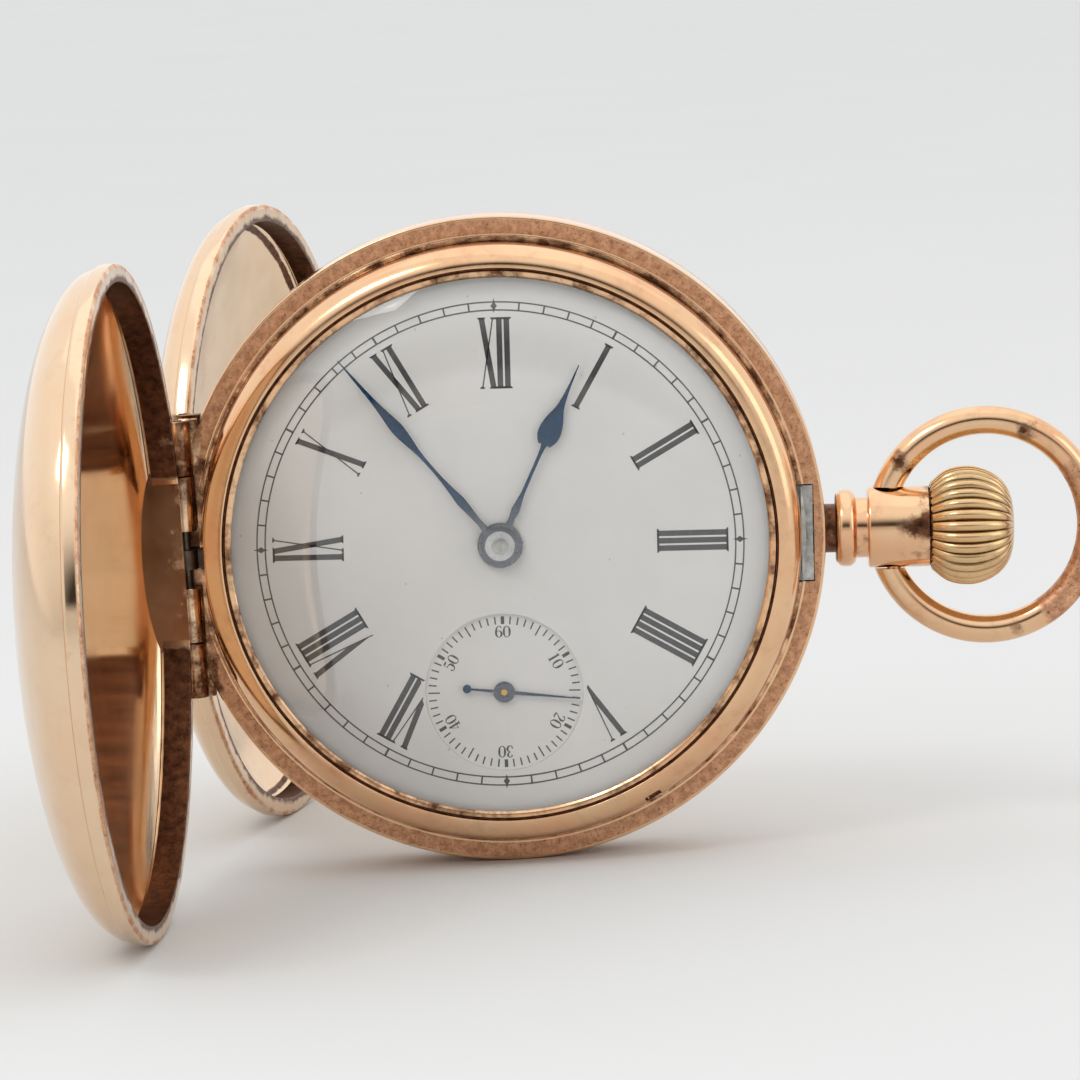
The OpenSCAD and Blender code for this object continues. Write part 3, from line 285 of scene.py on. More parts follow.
def soften(points, radii, parts=4, closed=True):
    """Rounds the corners of a profile. radii is one radius, or one for each corner."""
    made = []
    count = len(points)
    for i, point in enumerate(points):
        here = Vector((*point, 0))
        size = radii[i] if isinstance(radii, (list, tuple)) else radii
        if size <= 0 or (not closed and i in (0, count - 1)):
            made.append(tuple(point))
            continue
        before, after = Vector((*points[i - 1], 0)), Vector((*points[(i + 1) % count], 0))
        reach = min(size, (before - here).length * 0.48, (after - here).length * 0.48)
        first, last = here + (before - here).normalized() * reach, here + (after - here).normalized() * reach
        for k in range(parts + 1):
            t = k / parts
            spot = first * (1 - t) ** 2 + here * (2 * t * (1 - t)) + last * t ** 2
            made.append((spot.x, spot.y))
    return made


def box(name, low, high, rounding=0.0):
    """A block between two corners in millimetres, with its edges rounded."""
    deselect()
    bpy.ops.mesh.primitive_cube_add(size=1)
    piece = bpy.context.object
    piece.name = name
    low, high = Vector(low) * MM, Vector(high) * MM
    in_edit(piece)
    bpy.ops.transform.resize(value=tuple(high - low))
    bpy.ops.transform.translate(value=tuple((high + low) / 2))
    if rounding:
        bpy.ops.mesh.bevel(offset=rounding * MM, segments=3, affect="EDGES")
    out_of_edit()
    smooth(piece)
    return piece


def rod(name, radius, start, end, rounding=0.0, sides=48):
    """A round rod between two points in millimetres."""
    start, end = Vector(start) * MM, Vector(end) * MM
    deselect()
    bpy.ops.mesh.primitive_cylinder_add(vertices=sides, radius=radius * MM, depth=(end - start).length)
    piece = bpy.context.object
    piece.name = name
    if rounding:
        in_edit(piece)
        select("DESELECT")
        bpy.ops.mesh.select_mode(type="EDGE")
        form = bmesh.from_edit_mesh(piece.data)
        for edge in form.edges:
            edge.select_set(abs(edge.verts[0].co.z - edge.verts[1].co.z) < 1e-9)
        bmesh.update_edit_mesh(piece.data)
        bpy.ops.mesh.bevel(offset=rounding * MM, segments=3, affect="EDGES")
        bpy.ops.mesh.select_mode(type="VERT")
        out_of_edit()
    turn = (end - start).to_track_quat("Z", "Y").to_matrix().to_4x4()
    piece.data.transform(Matrix.Translation((start + end) / 2) @ turn)
    smooth(piece)
    return piece


def carve(piece, tools, operation="DIFFERENCE"):
    """Cuts the tools out of a piece, joins them to it or keeps what they share, and removes the tools."""
    for tool in tools:
        take(piece)
        cut = piece.modifiers.new("cut", "BOOLEAN")
        cut.operation = operation
        cut.object = tool
        cut.solver = "EXACT"
        bpy.ops.object.modifier_apply(modifier=cut.name)
        bpy.data.objects.remove(tool)
    return piece


def joined(name, pieces):
    """Joins pieces into one object."""
    deselect()
    for piece in pieces:
        piece.select_set(True)
    bpy.context.view_layer.objects.active = pieces[0]
    if len(pieces) > 1:
        bpy.ops.object.join()
    made = bpy.context.view_layer.objects.active
    made.name = name
    return made


def moved(piece, matrix):
    """Moves a piece by moving its mesh."""
    piece.data.transform(matrix)
    piece.data.update()
    return piece


def finish_piece(piece, body, material, nodes=()):
    """Gives a piece its finish and body, and hides the nodes that it stands for."""
    materials = material if isinstance(material, (list, tuple)) else [material]
    piece.data.materials.clear()
    for each in materials:
        piece.data.materials.append(each)
    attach(piece, body)
    if nodes:
        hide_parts(*nodes)
    return piece


def dress(node, material):
    """Gives a CAD node a better finish."""
    target = NODES[node]
    if not target.material_slots:
        target.data.materials.append(material)
    for each in target.material_slots:
        each.material = material


# Finishes

def gold(name, colour, rough=(0.1, 0.22), tarnish="#7A4A2C", tarnish_share=0.3, dents=0.0, bloom_share=0.4):
    """Polished rolled gold with smudges and fine hairlines. Its sheet may be dented, by so many millimetres.

    The "wear" of a piece brings in matt, mottled metal, and its second mask brings in dark brown: dirt in places,
    painted shade and painted reflection in others.
    """
    made, tree, place = start_material(name)
    smudge = noise(tree, place, 7, 4, 0.6)
    spots = noise(tree, place, 2.2, 8, 0.7)
    mottle = noise(tree, place, 0.7, 7, 0.7)
    lines = add(tree, "ShaderNodeMapping", {
        "Vector": place, "Rotation": (0.6, 0.4, 0.9), "Scale": (per_mm(0.12), per_mm(3.5), per_mm(0.12))})
    hairline = add(tree, "ShaderNodeTexNoise", {"Vector": lines.outputs[0], "Scale": 1, "Detail": 2}).outputs[0]
    bloom = noise(tree, place, 5, 3)
    base = blend(tree, spread(tree, bloom, 0.42, 0.66, 0, bloom_share), rgba(colour), rgba("#E8A880"))
    base = blend(tree, spread(tree, spots, 0.52, 0.78, 0, tarnish_share), base, rgba(tarnish))
    matt = spread(tree, smudge, 0.35, 0.7, rough[0], rough[1])
    ragged = spread(tree, spots, 0.3, 0.7, -0.25, 0.25)
    worn = blend(tree, spread(tree, mottle, 0.34, 0.6, 0, 1), rgba("#AE7C5C"), rgba(colours().worn_gold))
    specks = noise(tree, place, 0.22, 3, 0.6)
    worn = blend(tree, spread(tree, specks, 0.56, 0.68, 0, 0.7), worn, rgba("#5E3D2B"))
    # the dark brown of the second mask: dirt in places, painted shade and painted reflection in others
    dirt = blend(tree, spread(tree, mottle, 0.36, 0.68, 0, 1), rgba("#452C20"), rgba("#86593F"))
    for mask, layer, layer_matt in (("wear", worn, 0.48), ("tarnish", dirt, 0.36)):
        share = add(tree, "ShaderNodeAttribute", attribute_name=mask).outputs["Fac"]
        edge = add(tree, "ShaderNodeMath", {0: share, 1: ragged}, operation="ADD").outputs[0]
        cover = spread(tree, edge, 0.35, 0.6, 0, 1)
        base = blend(tree, cover, base, layer)
        matt = spread(tree, cover, 0, 1, matt, layer_matt)
    bump = add(tree, "ShaderNodeBump", {"Height": hairline, "Strength": 0.12, "Distance": 0.004 * MM}).outputs[0]
    if dents:
        swell = noise(tree, place, 16, 1)
        bump = add(tree, "ShaderNodeBump", {
            "Height": swell, "Strength": 1.0, "Distance": dents * MM, "Normal": bump}).outputs[0]
    close_material(tree, {"Base Color": base, "Metallic": 1.0, "Roughness": matt, "Normal": bump})
    return made


def steel(name, light, dark, rough=(0.22, 0.4), grain=0.25):
    """Ground or tempered steel, gilt, brass or copper, with a cloudy tone and a grain in millimetres."""
    made, tree, place = start_material(name)
    cloud = noise(tree, place, 1.6, 6, 0.65)
    fine = noise(tree, place, grain, 3)
    bump = add(tree, "ShaderNodeBump", {"Height": fine, "Strength": 0.15, "Distance": 0.004 * MM})
    close_material(tree, {
        "Base Color": blend(tree, spread(tree, cloud, 0.35, 0.7, 0, 1), rgba(light), rgba(dark)),
        "Metallic": 1.0, "Roughness": spread(tree, fine, 0.3, 0.7, rough[0], rough[1]), "Normal": bump.outputs[0]})
    return made


def layer_over(made, mask, code, reach=None):
    """Lays a colour over a metal's own, where a mask of the piece says so, or as its reach scales the mask."""
    tree = made.node_tree
    shader = next(n for n in tree.nodes if n.type == "BSDF_PRINCIPLED")
    below = shader.inputs["Base Color"].links[0].from_socket
    share = add(tree, "ShaderNodeAttribute", attribute_name=mask).outputs["Fac"]
    if reach:
        share = spread(tree, share, *reach)
    tree.links.new(blend(tree, share, below, rgba(code)), shader.inputs["Base Color"])
    return made


def blued_steel(name, blue):
    """Tempered blue steel, left grey where "wear" says so."""
    return layer_over(steel(name, blue, "#12324F", (0.16, 0.3)), "wear", "#6C6F76")


def crown_gold(name, colour):
    """Crown gold with dark dirt in its grooves."""
    made = gold(name, colour, (0.14, 0.26), "#6B4522", 0.45)
    return layer_over(made, "groove", "#453C33", (0.4, 0.95, 0, 0.92))


def enamel(name, colour):
    """Fired white enamel: glossy, very slightly uneven, with a few specks."""
    made, tree, place = start_material(name)
    cloud = noise(tree, place, 9, 3)
    specks = add(tree, "ShaderNodeTexVoronoi", {"Vector": place, "Scale": per_mm(2.4)}).outputs["Distance"]
    base = blend(tree, spread(tree, cloud, 0.35, 0.65, 0, 0.35), rgba(colour), rgba("#DEDDD8"))
    base = blend(tree, spread(tree, specks, 0.03, 0.05, 0.3, 0), base, rgba("#6B6459"))
    ripple = add(tree, "ShaderNodeBump", {"Height": cloud, "Strength": 0.1, "Distance": 0.05 * MM})
    close_material(tree, {
        "Base Color": base, "Roughness": 0.28, "Coat Weight": 0.5, "Coat Roughness": 0.04, "Normal": ripple.outputs[0]})
    return made


def print_ink(name, colour):
    """Black painted print, thin enough in places to turn grey."""
    made, tree, place = start_material(name)
    thin = noise(tree, place, 0.5, 4)
    base = blend(tree, spread(tree, thin, 0.45, 0.75, 0, 0.5), rgba(colour), rgba("#5E5E60"))
    close_material(tree, {"Base Color": base, "Roughness": spread(tree, thin, 0.3, 0.7, 0.3, 0.5)})
    return made


def clear_glass(name):
    """Thin clear watch glass. Lamps shine through it, so that the dial keeps its light."""
    made, tree, place = start_material(name)
    haze = noise(tree, place, 5, 5)
    glass = add(tree, "ShaderNodeBsdfPrincipled", {
        "Base Color": (1, 1, 1, 1), "Transmission Weight": 1.0, "IOR": 1.5,
        "Roughness": spread(tree, haze, 0.4, 0.75, 0, 0.02)})
    through = add(tree, "ShaderNodeBsdfTransparent", {"Color": (0.97, 0.97, 0.97, 1)})
    path = add(tree, "ShaderNodeLightPath").outputs["Is Shadow Ray"]
    mixed = add(tree, "ShaderNodeMixShader", {0: path, 1: glass.outputs[0], 2: through.outputs[0]})
    add(tree, "ShaderNodeOutputMaterial", {"Surface": mixed.outputs[0]})
    return made


def ruby(name):
    """Ruby jewels, deep red and glossy."""
    made, tree, place = start_material(name)
    cloud = noise(tree, place, 0.4, 2)
    base = blend(tree, spread(tree, cloud, 0.4, 0.6, 0, 1), rgba("#B3163A"), rgba("#7A0F2A"))
    close_material(tree, {"Base Color": base, "Roughness": 0.1, "Coat Weight": 1.0})
    return made


# Each finish is made once, from its maker, its name and what else the maker takes
FINISHES = {
    # polished rolled gold of the band, bezel, neck and bow
    "case gold": (gold, "Polished rose gold", "case_gold"),
    # the lids' thinner, paler sheet with shallow dents
    "lid gold": (gold, "Polished pale gold", "lid_gold", (0.08, 0.2), "#7A4A2C", 0.12, 0.12, 0.1),
    # yellower gold of the crown, with dirt between its flutes
    "crown gold": (crown_gold, "Crown gold with dirt in its grooves", "crown_gold"),
    # fired enamel of both dials, and the black paint fired on it
    "enamel": (enamel, "White enamel", "enamel"),
    "print": (print_ink, "Black enamel print", "print_black"),
    # tempered hands, screws and fine springs
    "blue": (blued_steel, "Blued steel", "hand_blue"),
    "glass": (clear_glass, "Watch glass"),
    # steel as it is ground, browned with age and polished
    "steel": (steel, "Ground steel", "#D6D4CF", "#6C6C6C", (0.32, 0.5)),
    "dark steel": (steel, "Oxidised steel", "#7C7268", "#453D36", (0.35, 0.55)),
    "bright steel": (steel, "Polished steel", "#C9C9C8", "#A6A6A6", (0.14, 0.26)),
    # frosted gilt plates, brass wheels, copper dial feet and ruby jewels
    "gilt": (steel, "Gilt plates", "#D9B878", "#CCA767", (0.25, 0.42), 0.12),
    "brass": (steel, "Wheel brass", "#D8AE5C", "#B0843A", (0.18, 0.34), 0.12),
    "copper": (steel, "Copper", "#C08060", "#8E5238", (0.25, 0.42), 0.12),
    "ruby": (ruby, "Ruby jewels"),
}
MADE = {}


def finish(name):
    """The finish of that name, with the panel's own colour where it has one."""
    if name not in MADE:
        maker, title, *rest = FINISHES[name]
        if rest and hasattr(colours(), rest[0]):
            rest[0] = getattr(colours(), rest[0])
        MADE[name] = maker(title, *rest)
    return MADE[name]


def weather(piece, wear, tarnish, angle):
    """Stores both masks of a gold piece and smooths it."""
    set_mask(piece, "wear", wear)
    set_mask(piece, "tarnish", tarnish)
    smooth(piece, angle)
    return piece


def clamp(value):
    return max(0.0, min(1.0, value))


def from_axis(p):
    return sqrt(p.x ** 2 + p.z ** 2)


def set_mask(piece, name, share):
    """Stores a mask for each corner of a piece: share takes its place in millimetres and gives 0 to 1."""
    mask = piece.data.attributes.new(name, "FLOAT", "POINT")
    for corner, value in zip(piece.data.vertices, mask.data):
        value.value = clamp(share(corner.co / MM))
    return piece


# Lids

DOME_POWER = 2.2
LIP_H = 1.3
LID_WALL = 0.6
LID_R = CASE_R - 0.25
LID_REST = 0.03
PLACE_LEN = HINGE_LEN / 5
HALF_HINGE = HINGE_LEN / 2 + KNUCKLE_GAP
PIN_ROOM = 0.38
LEAF_END_X = -23.05


def dome_height(r, edge, height):
    return LIP_H + (height - LIP_H) * sqrt(max(0.0, 1 - (r / edge) ** DOME_POWER))


def dome_line(edge, height, start, parts=34):
    """Points up a lid's dome from near its edge to its middle."""
    made = []
    for i in range(parts + 1):
        r = 0.0 if i == parts else edge * cos(radians(start + (90 - start) * i / parts))
        made.append((r, dome_height(r, edge, height)))
    return made


def lid_shell(name, height):
    """A lid's turned sheet, closed in front of its seat, with its rounded lip and snap wall."""
    snap = min(2.1, 0.29 * height)
    lip = soften([
        (LIP_INNER_R, snap), (LIP_INNER_R, LID_REST), (CASE_R, LID_REST), (CASE_R, LIP_H - 0.12),
        (LID_R - 0.02, LIP_H + 0.06)],
        [0.06, 0.1, 0.42, 0.35, 0.05], parts=5, closed=False)
    outer = dome_line(LID_R, height, 6)
    inner = dome_line(LID_R - LID_WALL, height - LID_WALL, 8)[::-1]
    step = [(LID_R - LID_WALL - 0.12, snap + 0.35), (LID_R - LID_WALL - 0.3, snap + 0.12)]
    line = lip + outer + inner + step
    return turned(name, [(r, -h) for r, h in line], angle=28)


def lid_places(name, places, low, high):
    """The bored knuckles of one side of a lid hinge, each with its leaf between two levels."""
    made = []
    for place in places:
        z0 = -HINGE_LEN / 2 + place * PLACE_LEN + KNUCKLE_GAP / 2
        z1 = z0 + PLACE_LEN - KNUCKLE_GAP
        knuckle = rod(name, KNUCKLE_R, (-HINGE_X, 0, z0), (-HINGE_X, 0, z1), 0.08)
        carve(knuckle, [box("leaf", (-HINGE_X, min(low, high), z0), (LEAF_END_X, max(low, high), z1))], "UNION")
        made.append(carve(knuckle, [rod("bore", PIN_ROOM, (-HINGE_X, 0, z0 - 1), (-HINGE_X, 0, z1 + 1))]))
    return made


def lid(name, height, opened):
    """One lid with its chord plate, knuckles and wear, drawn closed and then swung open."""
    shell = lid_shell(name, height)
    room = box("room", (-CASE_R - 1, -HINGE_ROOM, -HALF_HINGE), (-LID_FLAT_X, 1, HALF_HINGE))
    carve(shell, [room])
    dome = [(r, -h) for r, h in dome_line(LID_R - 0.1, height - 0.15, 4)]
    filled = turned("filled", [(0, -LID_REST), (LID_R - 0.1, -LID_REST)] + dome)
    plate = box("plate", (-LID_FLAT_X, -4.5, -8), (-LID_FLAT_X + 0.45, -LID_REST, 8))
    carve(plate, [filled], "INTERSECT")
    made = joined(name, [shell, plate] + lid_places("knuckle", (1, 3), -HINGE_ROOM - 0.3, -0.1))

    def worn(p):
        radius = from_axis(p)
        return 0.34 * (radius > 23.9) * (p.y > -0.2) + 0.2 * (radius > 24.8) * (p.y > -1.2)

    # Dark brown mask: painted reflection on the snap wall, dirt with painted shade on the hinge, and darker ends of the
    # chord plate
    def tarnished(p):
        radius = from_axis(p)
        # painted reflection: the inner snap wall turned dark brown like the dark it mirrors
        wall = 0.75 * (radius < 23.9) * (radius > 23.2) * (p.y > -2.6)
        # knuckles and leaves: dirt together with painted shade of the hinge crevice
        hinge = 0.46 * (p.x < -23.5) * (abs(p.z) < 11.2)
        return max(wall * (p.x > -22.9), hinge, 0.3 * (p.x < -23) * (7 < abs(p.z) < 8.2))

    return moved(weather(made, worn, tarnished, 28), opened)


def swing(y, angle):
    """A turn about a lid's hinge pin."""
    return shifted(-HINGE_X, y, 0) @ Matrix.Rotation(angle, 4, "Z")


class WATCH_OT_front_lid(bpy.types.Operator):
    """Front lid, open toward the viewer"""
    bl_idname = "watch.front_lid"
    bl_label = "Front lid"

    def execute(self, context):
        opened = swing(0, -sizes().front_lid_open) @ shifted(HINGE_X, 0, 0)
        made = lid("Front_lid", sizes().front_lid_height / MM, opened)
        finish_piece(made, "front_cover", finish("lid gold"), ("front_lid",))
        return {"FINISHED"}


class WATCH_OT_rear_lid(bpy.types.Operator):
    """Rear lid, open behind the case"""
    bl_idname = "watch.rear_lid"
    bl_label = "Rear lid"

    def execute(self, context):
        opened = (swing(BAND_DEPTH, sizes().rear_lid_open) @ shifted(HINGE_X, 0, 0)
                  @ Matrix.Rotation(pi, 4, "X"))
        made = lid("Rear_lid", sizes().rear_lid_height / MM, opened)
        finish_piece(made, "rear_cover", finish("lid gold"), ("rear_lid",))
        return {"FINISHED"}


# Case

SPRING_GROOVE = (22.9, 21.1)
GROOVE_PARTS = 24
NOTCH_TURN = radians(62.5)
COVER_HINGE = (-22.2, 5.75)
COVER_HINGE_LEN = 8.0


def sector_groove(start, end):
    """The groove inside the band for a case spring, between two angles in degrees."""
    turns = [radians(start + (end - start) * i / GROOVE_PARTS) for i in range(GROOVE_PARTS + 1)]
    outer, inner = SPRING_GROOVE
    points = [Vector((r * cos(a), 1, r * sin(a))) * MM for r, way in ((outer, turns), (inner, turns[::-1])) for a in way]
    piece = loop("groove", points)
    in_edit(piece)
    bpy.ops.mesh.edge_face_add()
    bpy.ops.mesh.extrude_region_move(TRANSFORM_OT_translate={"value": (0, 2 * MM, 0)})
    close_up()
    return piece


class WATCH_OT_band(bpy.types.Operator):
    """Case band with its two lid seats, bezel collar, hinge flats and knuckles"""
    bl_idname = "watch.band"
    bl_label = "Case band"

    def execute(self, context):
        profile = soften([
            (BORE_R, -1.2), (COLLAR_R, -1.2), (COLLAR_R, 0.3), (23.36, 0.3), (23.36, -0.3), (23.65, -0.3), (23.65, 0.0),
            (23.8, 0.02), (23.92, 0.0), (24.9, 0.0), (CASE_R, 0.0), (CASE_R, BAND_DEPTH), (24.9, BAND_DEPTH),
            (23.8, BAND_DEPTH), (COLLAR_R, BAND_DEPTH), (COLLAR_R, BAND_DEPTH + 0.9), (BORE_R, BAND_DEPTH + 0.9)],
            [0.05, 0.15, 0, 0, 0.06, 0.06, 0.1, 0, 0, 0, 0.3, 0.3, 0, 0, 0.05, 0.12, 0.05])
        ring = turned("Case band", profile, angle=28)
        cuts = [
            box("room", (-CASE_R - 1, -3, -HALF_HINGE), (-LID_FLAT_X, HINGE_ROOM, HALF_HINGE)),
            box("room", (-CASE_R - 1, BAND_DEPTH - HINGE_ROOM, -HALF_HINGE), (-LID_FLAT_X, BAND_DEPTH + 3, HALF_HINGE)),
            box("room", (-CASE_R - 1, -3, -HALF_HINGE), (-BEZEL_FLAT_X + 0.1, 0, HALF_HINGE)),
            box("slot", (-CASE_R - 1, -0.7, -0.85), (-20.6, 2.3, 0.85)),
            moved(box("slot", (21.8, -3, -3.8), (24.3, 2.3, 3.8)), works()),
            moved(rod("hole", 1.95, (20.6, STEM_Y, 0), (26.2, STEM_Y, 0)), works()),
            sector_groove(178, 227),
            moved(sector_groove(-56, 6), works()),
        ]
        carve(ring, cuts)
        front = lid_places("knuckle", (0, 4), 0.1, HINGE_ROOM + 0.3)
        rear = [moved(piece, shifted(0, BAND_DEPTH, 0))
                for piece in lid_places("knuckle", (0, 2, 4), -HINGE_ROOM - 0.3, -0.1)]
        cover = []
        for place in (0, 2):
            z0 = -COVER_HINGE_LEN / 2 + place * COVER_HINGE_LEN / 3 + KNUCKLE_GAP / 2
            z1 = z0 + COVER_HINGE_LEN / 3 - KNUCKLE_GAP
            cover.append(rod("cover knuckle", 0.5, (*COVER_HINGE, z0), (*COVER_HINGE, z1), 0.04))
        made = joined("Case_band", [ring] + front + rear + cover)

        def worn(p):
            radius = from_axis(p)
            return (23.85 < radius < 25.0) * (abs(p.y) < 0.1 or abs(p.y - BAND_DEPTH) < 0.1)

        # Dark brown mask: dirt with painted shade on the hinge column, and painted shade on the ring in the gap between
        # bezel and seat
        def tarnished(p):
            return max(0.5 * (p.x < -22.5) * (abs(p.z) < 11.2), 0.5 * (23.1 < from_axis(p) < 23.7))

        weather(made, worn, tarnished, 28)
        finish_piece(made, "case", finish("case gold"), ("case_band",))
        return {"FINISHED"}


class WATCH_OT_bezel(bpy.types.Operator):
    """Bezel with its rounded front, inner step, thumbnail notch and room for the catch"""
    bl_idname = "watch.bezel"
    bl_label = "Bezel"

    def execute(self, context):
        opening = sizes().bezel_opening / MM
        edge = GLASS_EDGE_Y
        arc = [(21.6 + 1.7 * cos(radians(a)), -1.6 - 2.1 * sin(radians(a))) for a in range(0, 85, 4)]
        profile = [(COLLAR_R + 0.03, -0.05), (23.1, -0.05), (23.24, -0.12), (23.3, -0.25)] + arc + soften([
            (21.62, -3.7), (21.5, -3.7), (21.45, -3.42), (21.33, -3.42), (21.26, -3.66), (opening + 0.2, -3.62),
            (opening, edge - 0.04), (opening + 0.3, edge - 0.04)], 0.05, closed=False) + [
            (opening + 0.3, edge + 0.74), (opening + 0.1, edge + 0.74), (DIAL_R + 0.15, DIAL_Y - 0.05),
            (DIAL_R + 0.15, -1.25), (COLLAR_R + 0.03, -1.25)]
        made = turned("Bezel", profile, steps=256, angle=24)
        notch = box("notch", (22.7, -4.2, -0.68), (24.3, -0.4, 0.68), 0.12)
        at_notch = Matrix.Rotation(NOTCH_TURN, 4, "Y")
        moved(notch, at_notch)
        room = moved(box("room", (22.2, -1.1, -3.8), (CASE_R, 1, 3.8)), works())
        carve(made, [box("flat", (-CASE_R, -6, -8), (-BEZEL_FLAT_X, 1, 8)), notch, room])

        # Painted shade in the dirt's dark brown: deep in the thumbnail notch, along the inner step by the glass, at the
        # back edge against the band and by the hinge flat
        def tarnished(p):
            radius = from_axis(p)
            local = at_notch.inverted() @ p
            in_notch = local.x > 22.65 and abs(local.z) < 0.62 and -3 < local.y < -0.35
            inside = 0.9 * (21.28 < radius < 21.49) + 0.42 * (radius < 21.28) * (p.y < -3.4)
            return max(0.45 * (p.y > -0.4), 0.3 * (p.x < -22.8), inside * (p.y < -3.3), 0.95 * in_notch)

        set_mask(made, "tarnish", tarnished)
        smooth(made, 24)
        finish_piece(made, "glass_ring", finish("case gold"), ("bezel",))
        return {"FINISHED"}


class WATCH_OT_crystal(bpy.types.Operator):
    """Domed watch glass"""
    bl_idname = "watch.crystal"
    bl_label = "Glass"

    def execute(self, context):
        opening = sizes().bezel_opening / MM
        edge, rise, wall, rim = GLASS_EDGE_Y, 2.4, 0.7, opening + 0.26
        radii = [opening * cos(radians(90 * i / 40)) for i in range(40)] + [0.0]
        front = [(r, edge - rise * (1 - (r / opening) ** 5)) for r in radii]
        back = [(r, a + wall) for r, a in reversed(front)]
        made = turned("Glass", [(rim, edge)] + front + back + [(rim, edge + wall)], angle=50)
        finish_piece(made, "glass_ring", finish("glass"), ("crystal",))
        return {"FINISHED"}


class WATCH_OT_springs(bpy.types.Operator):
    """Steel of the lift spring, the lock spring with its catch, the hinge pins and the case screws"""
    bl_idname = "watch.springs"
    bl_label = "Case springs"

    def execute(self, context):
        dress("lock_spring", finish("steel"))
        for node in ("lift_spring", "front_hinge_pin", "rear_hinge_pin", "dust_cover_hinge_pin", "case_spring_screws"):
            dress(node, finish("dark steel"))
        return {"FINISHED"}


# Pendant, crown and bow, drawn along X and set on the stem's line

def on_stem(piece):
    return moved(piece, works(0, STEM_Y, 0))


class WATCH_OT_pendant(bpy.types.Operator):
    """Pendant neck with its bead and waist"""
    bl_idname = "watch.pendant"
    bl_label = "Pendant neck"

    def execute(self, context):
        outline = soften([
            (1.45, 24.35), (1.9, 24.35), (1.9, 26.0), (2.6, 26.0), (3.0, 26.35), (3.0, 27.2), (2.65, 27.55), (2.35, 27.6),
            (2.35, 28.5), (3.15, 28.5), (3.15, 33.4), (1.45, 33.4)],
            [0, 0, 0.05, 0.2, 0.4, 0.4, 0.2, 0.05, 0.08, 0.25, 0.3, 0.1])
        made = turned("Pendant_neck", outline, axis="X", steps=96)
        carve(made, [rod("pivot", 0.58, (BOW_PIVOT_X, 0, s * 2), (BOW_PIVOT_X, 0, s * 5)) for s in (-1, 1)])
        # Darker places: a dark brown patch at the front near the crown, and painted shade at the end under the crown,
        # at the foot against the band and in the waist
        spot = Vector((32.9, -3, 0.4))
        weather(made, lambda p: 0.2 * (26.2 < p.x < 27.4), lambda p: max(
            0.95 - 0.45 * (p - spot).length, 0.42 * (p.x > 33), 0.7 * (p.x < 26.1), 0.3 * (27.5 < p.x < 28.6)), 30)
        finish_piece(on_stem(made), "case", finish("case gold"), ("pendant_neck",))
        return {"FINISHED"}


FLUTES = 30
FLUTE_DEPTH = 0.075


def flute(a):
    """How high the crown's outline stands at an angle, from 0 in a groove to 1 on a flute."""
    return abs(cos(a * FLUTES / 2)) ** 0.7


class WATCH_OT_crown(bpy.types.Operator):
    """Onion crown with rounded flutes"""
    bl_idname = "watch.crown"
    bl_label = "Crown"

    def execute(self, context):
        radius, across = sizes().crown_radius / MM, 12
        points = []
        for i in range(FLUTES * across):
            a = FULL_TURN * i / (FLUTES * across)
            r = radius * (1 - FLUTE_DEPTH + FLUTE_DEPTH * flute(a))
            points.append(Vector((0, r * sin(a), r * cos(a))) * MM)
        stations = [
            (0.0, 0.715), (0.015, 0.745), (0.05, 0.785), (0.11, 0.86), (0.18, 0.926), (0.25, 0.965), (0.33, 0.99),
            (0.41, 1.0), (0.49, 1.0), (0.57, 0.98), (0.65, 0.945), (0.73, 0.893), (0.8, 0.83), (0.86, 0.755),
            (0.91, 0.665), (0.95, 0.56), (0.975, 0.45), (0.99, 0.33), (1.0, 0.16)]
        made = loop("Crown", [p * stations[0][1] for p in points])
        in_edit(made)
        place, size = stations[0]
        for share, swell in stations[1:]:
            bpy.ops.mesh.extrude_region_move(TRANSFORM_OT_translate={"value": ((share - place) * CROWN_LEN * MM, 0, 0)})
            bpy.ops.transform.resize(value=(1, swell / size, swell / size))
            place, size = share, swell
        bpy.ops.mesh.edge_face_add()
        select("DESELECT")
        out_of_edit()
        in_edit(made)
        bpy.ops.mesh.select_mode(type="EDGE")
        select("DESELECT")
        bpy.ops.mesh.select_non_manifold(extend=False)
        bpy.ops.mesh.edge_face_add()
        bpy.ops.mesh.select_mode(type="VERT")
        close_up()
        carve(made, [rod("neck room", 3.3, (-1, 0, 0), (1.2, 0, 0)), rod("bore", 1.03, (0, 0, 0), (1.7, 0, 0)),
                     rod("bore", 0.53, (1.5, 0, 0), (4.1, 0, 0))])
        set_mask(made, "groove", lambda p: 1 - flute(atan2(p.y, p.z)))
        smooth(made, 40)
        moved(made, shifted(CROWN_X, 0, 0))
        finish_piece(on_stem(made), "winding_crown", finish("crown gold"), ("crown",))
        return {"FINISHED"}


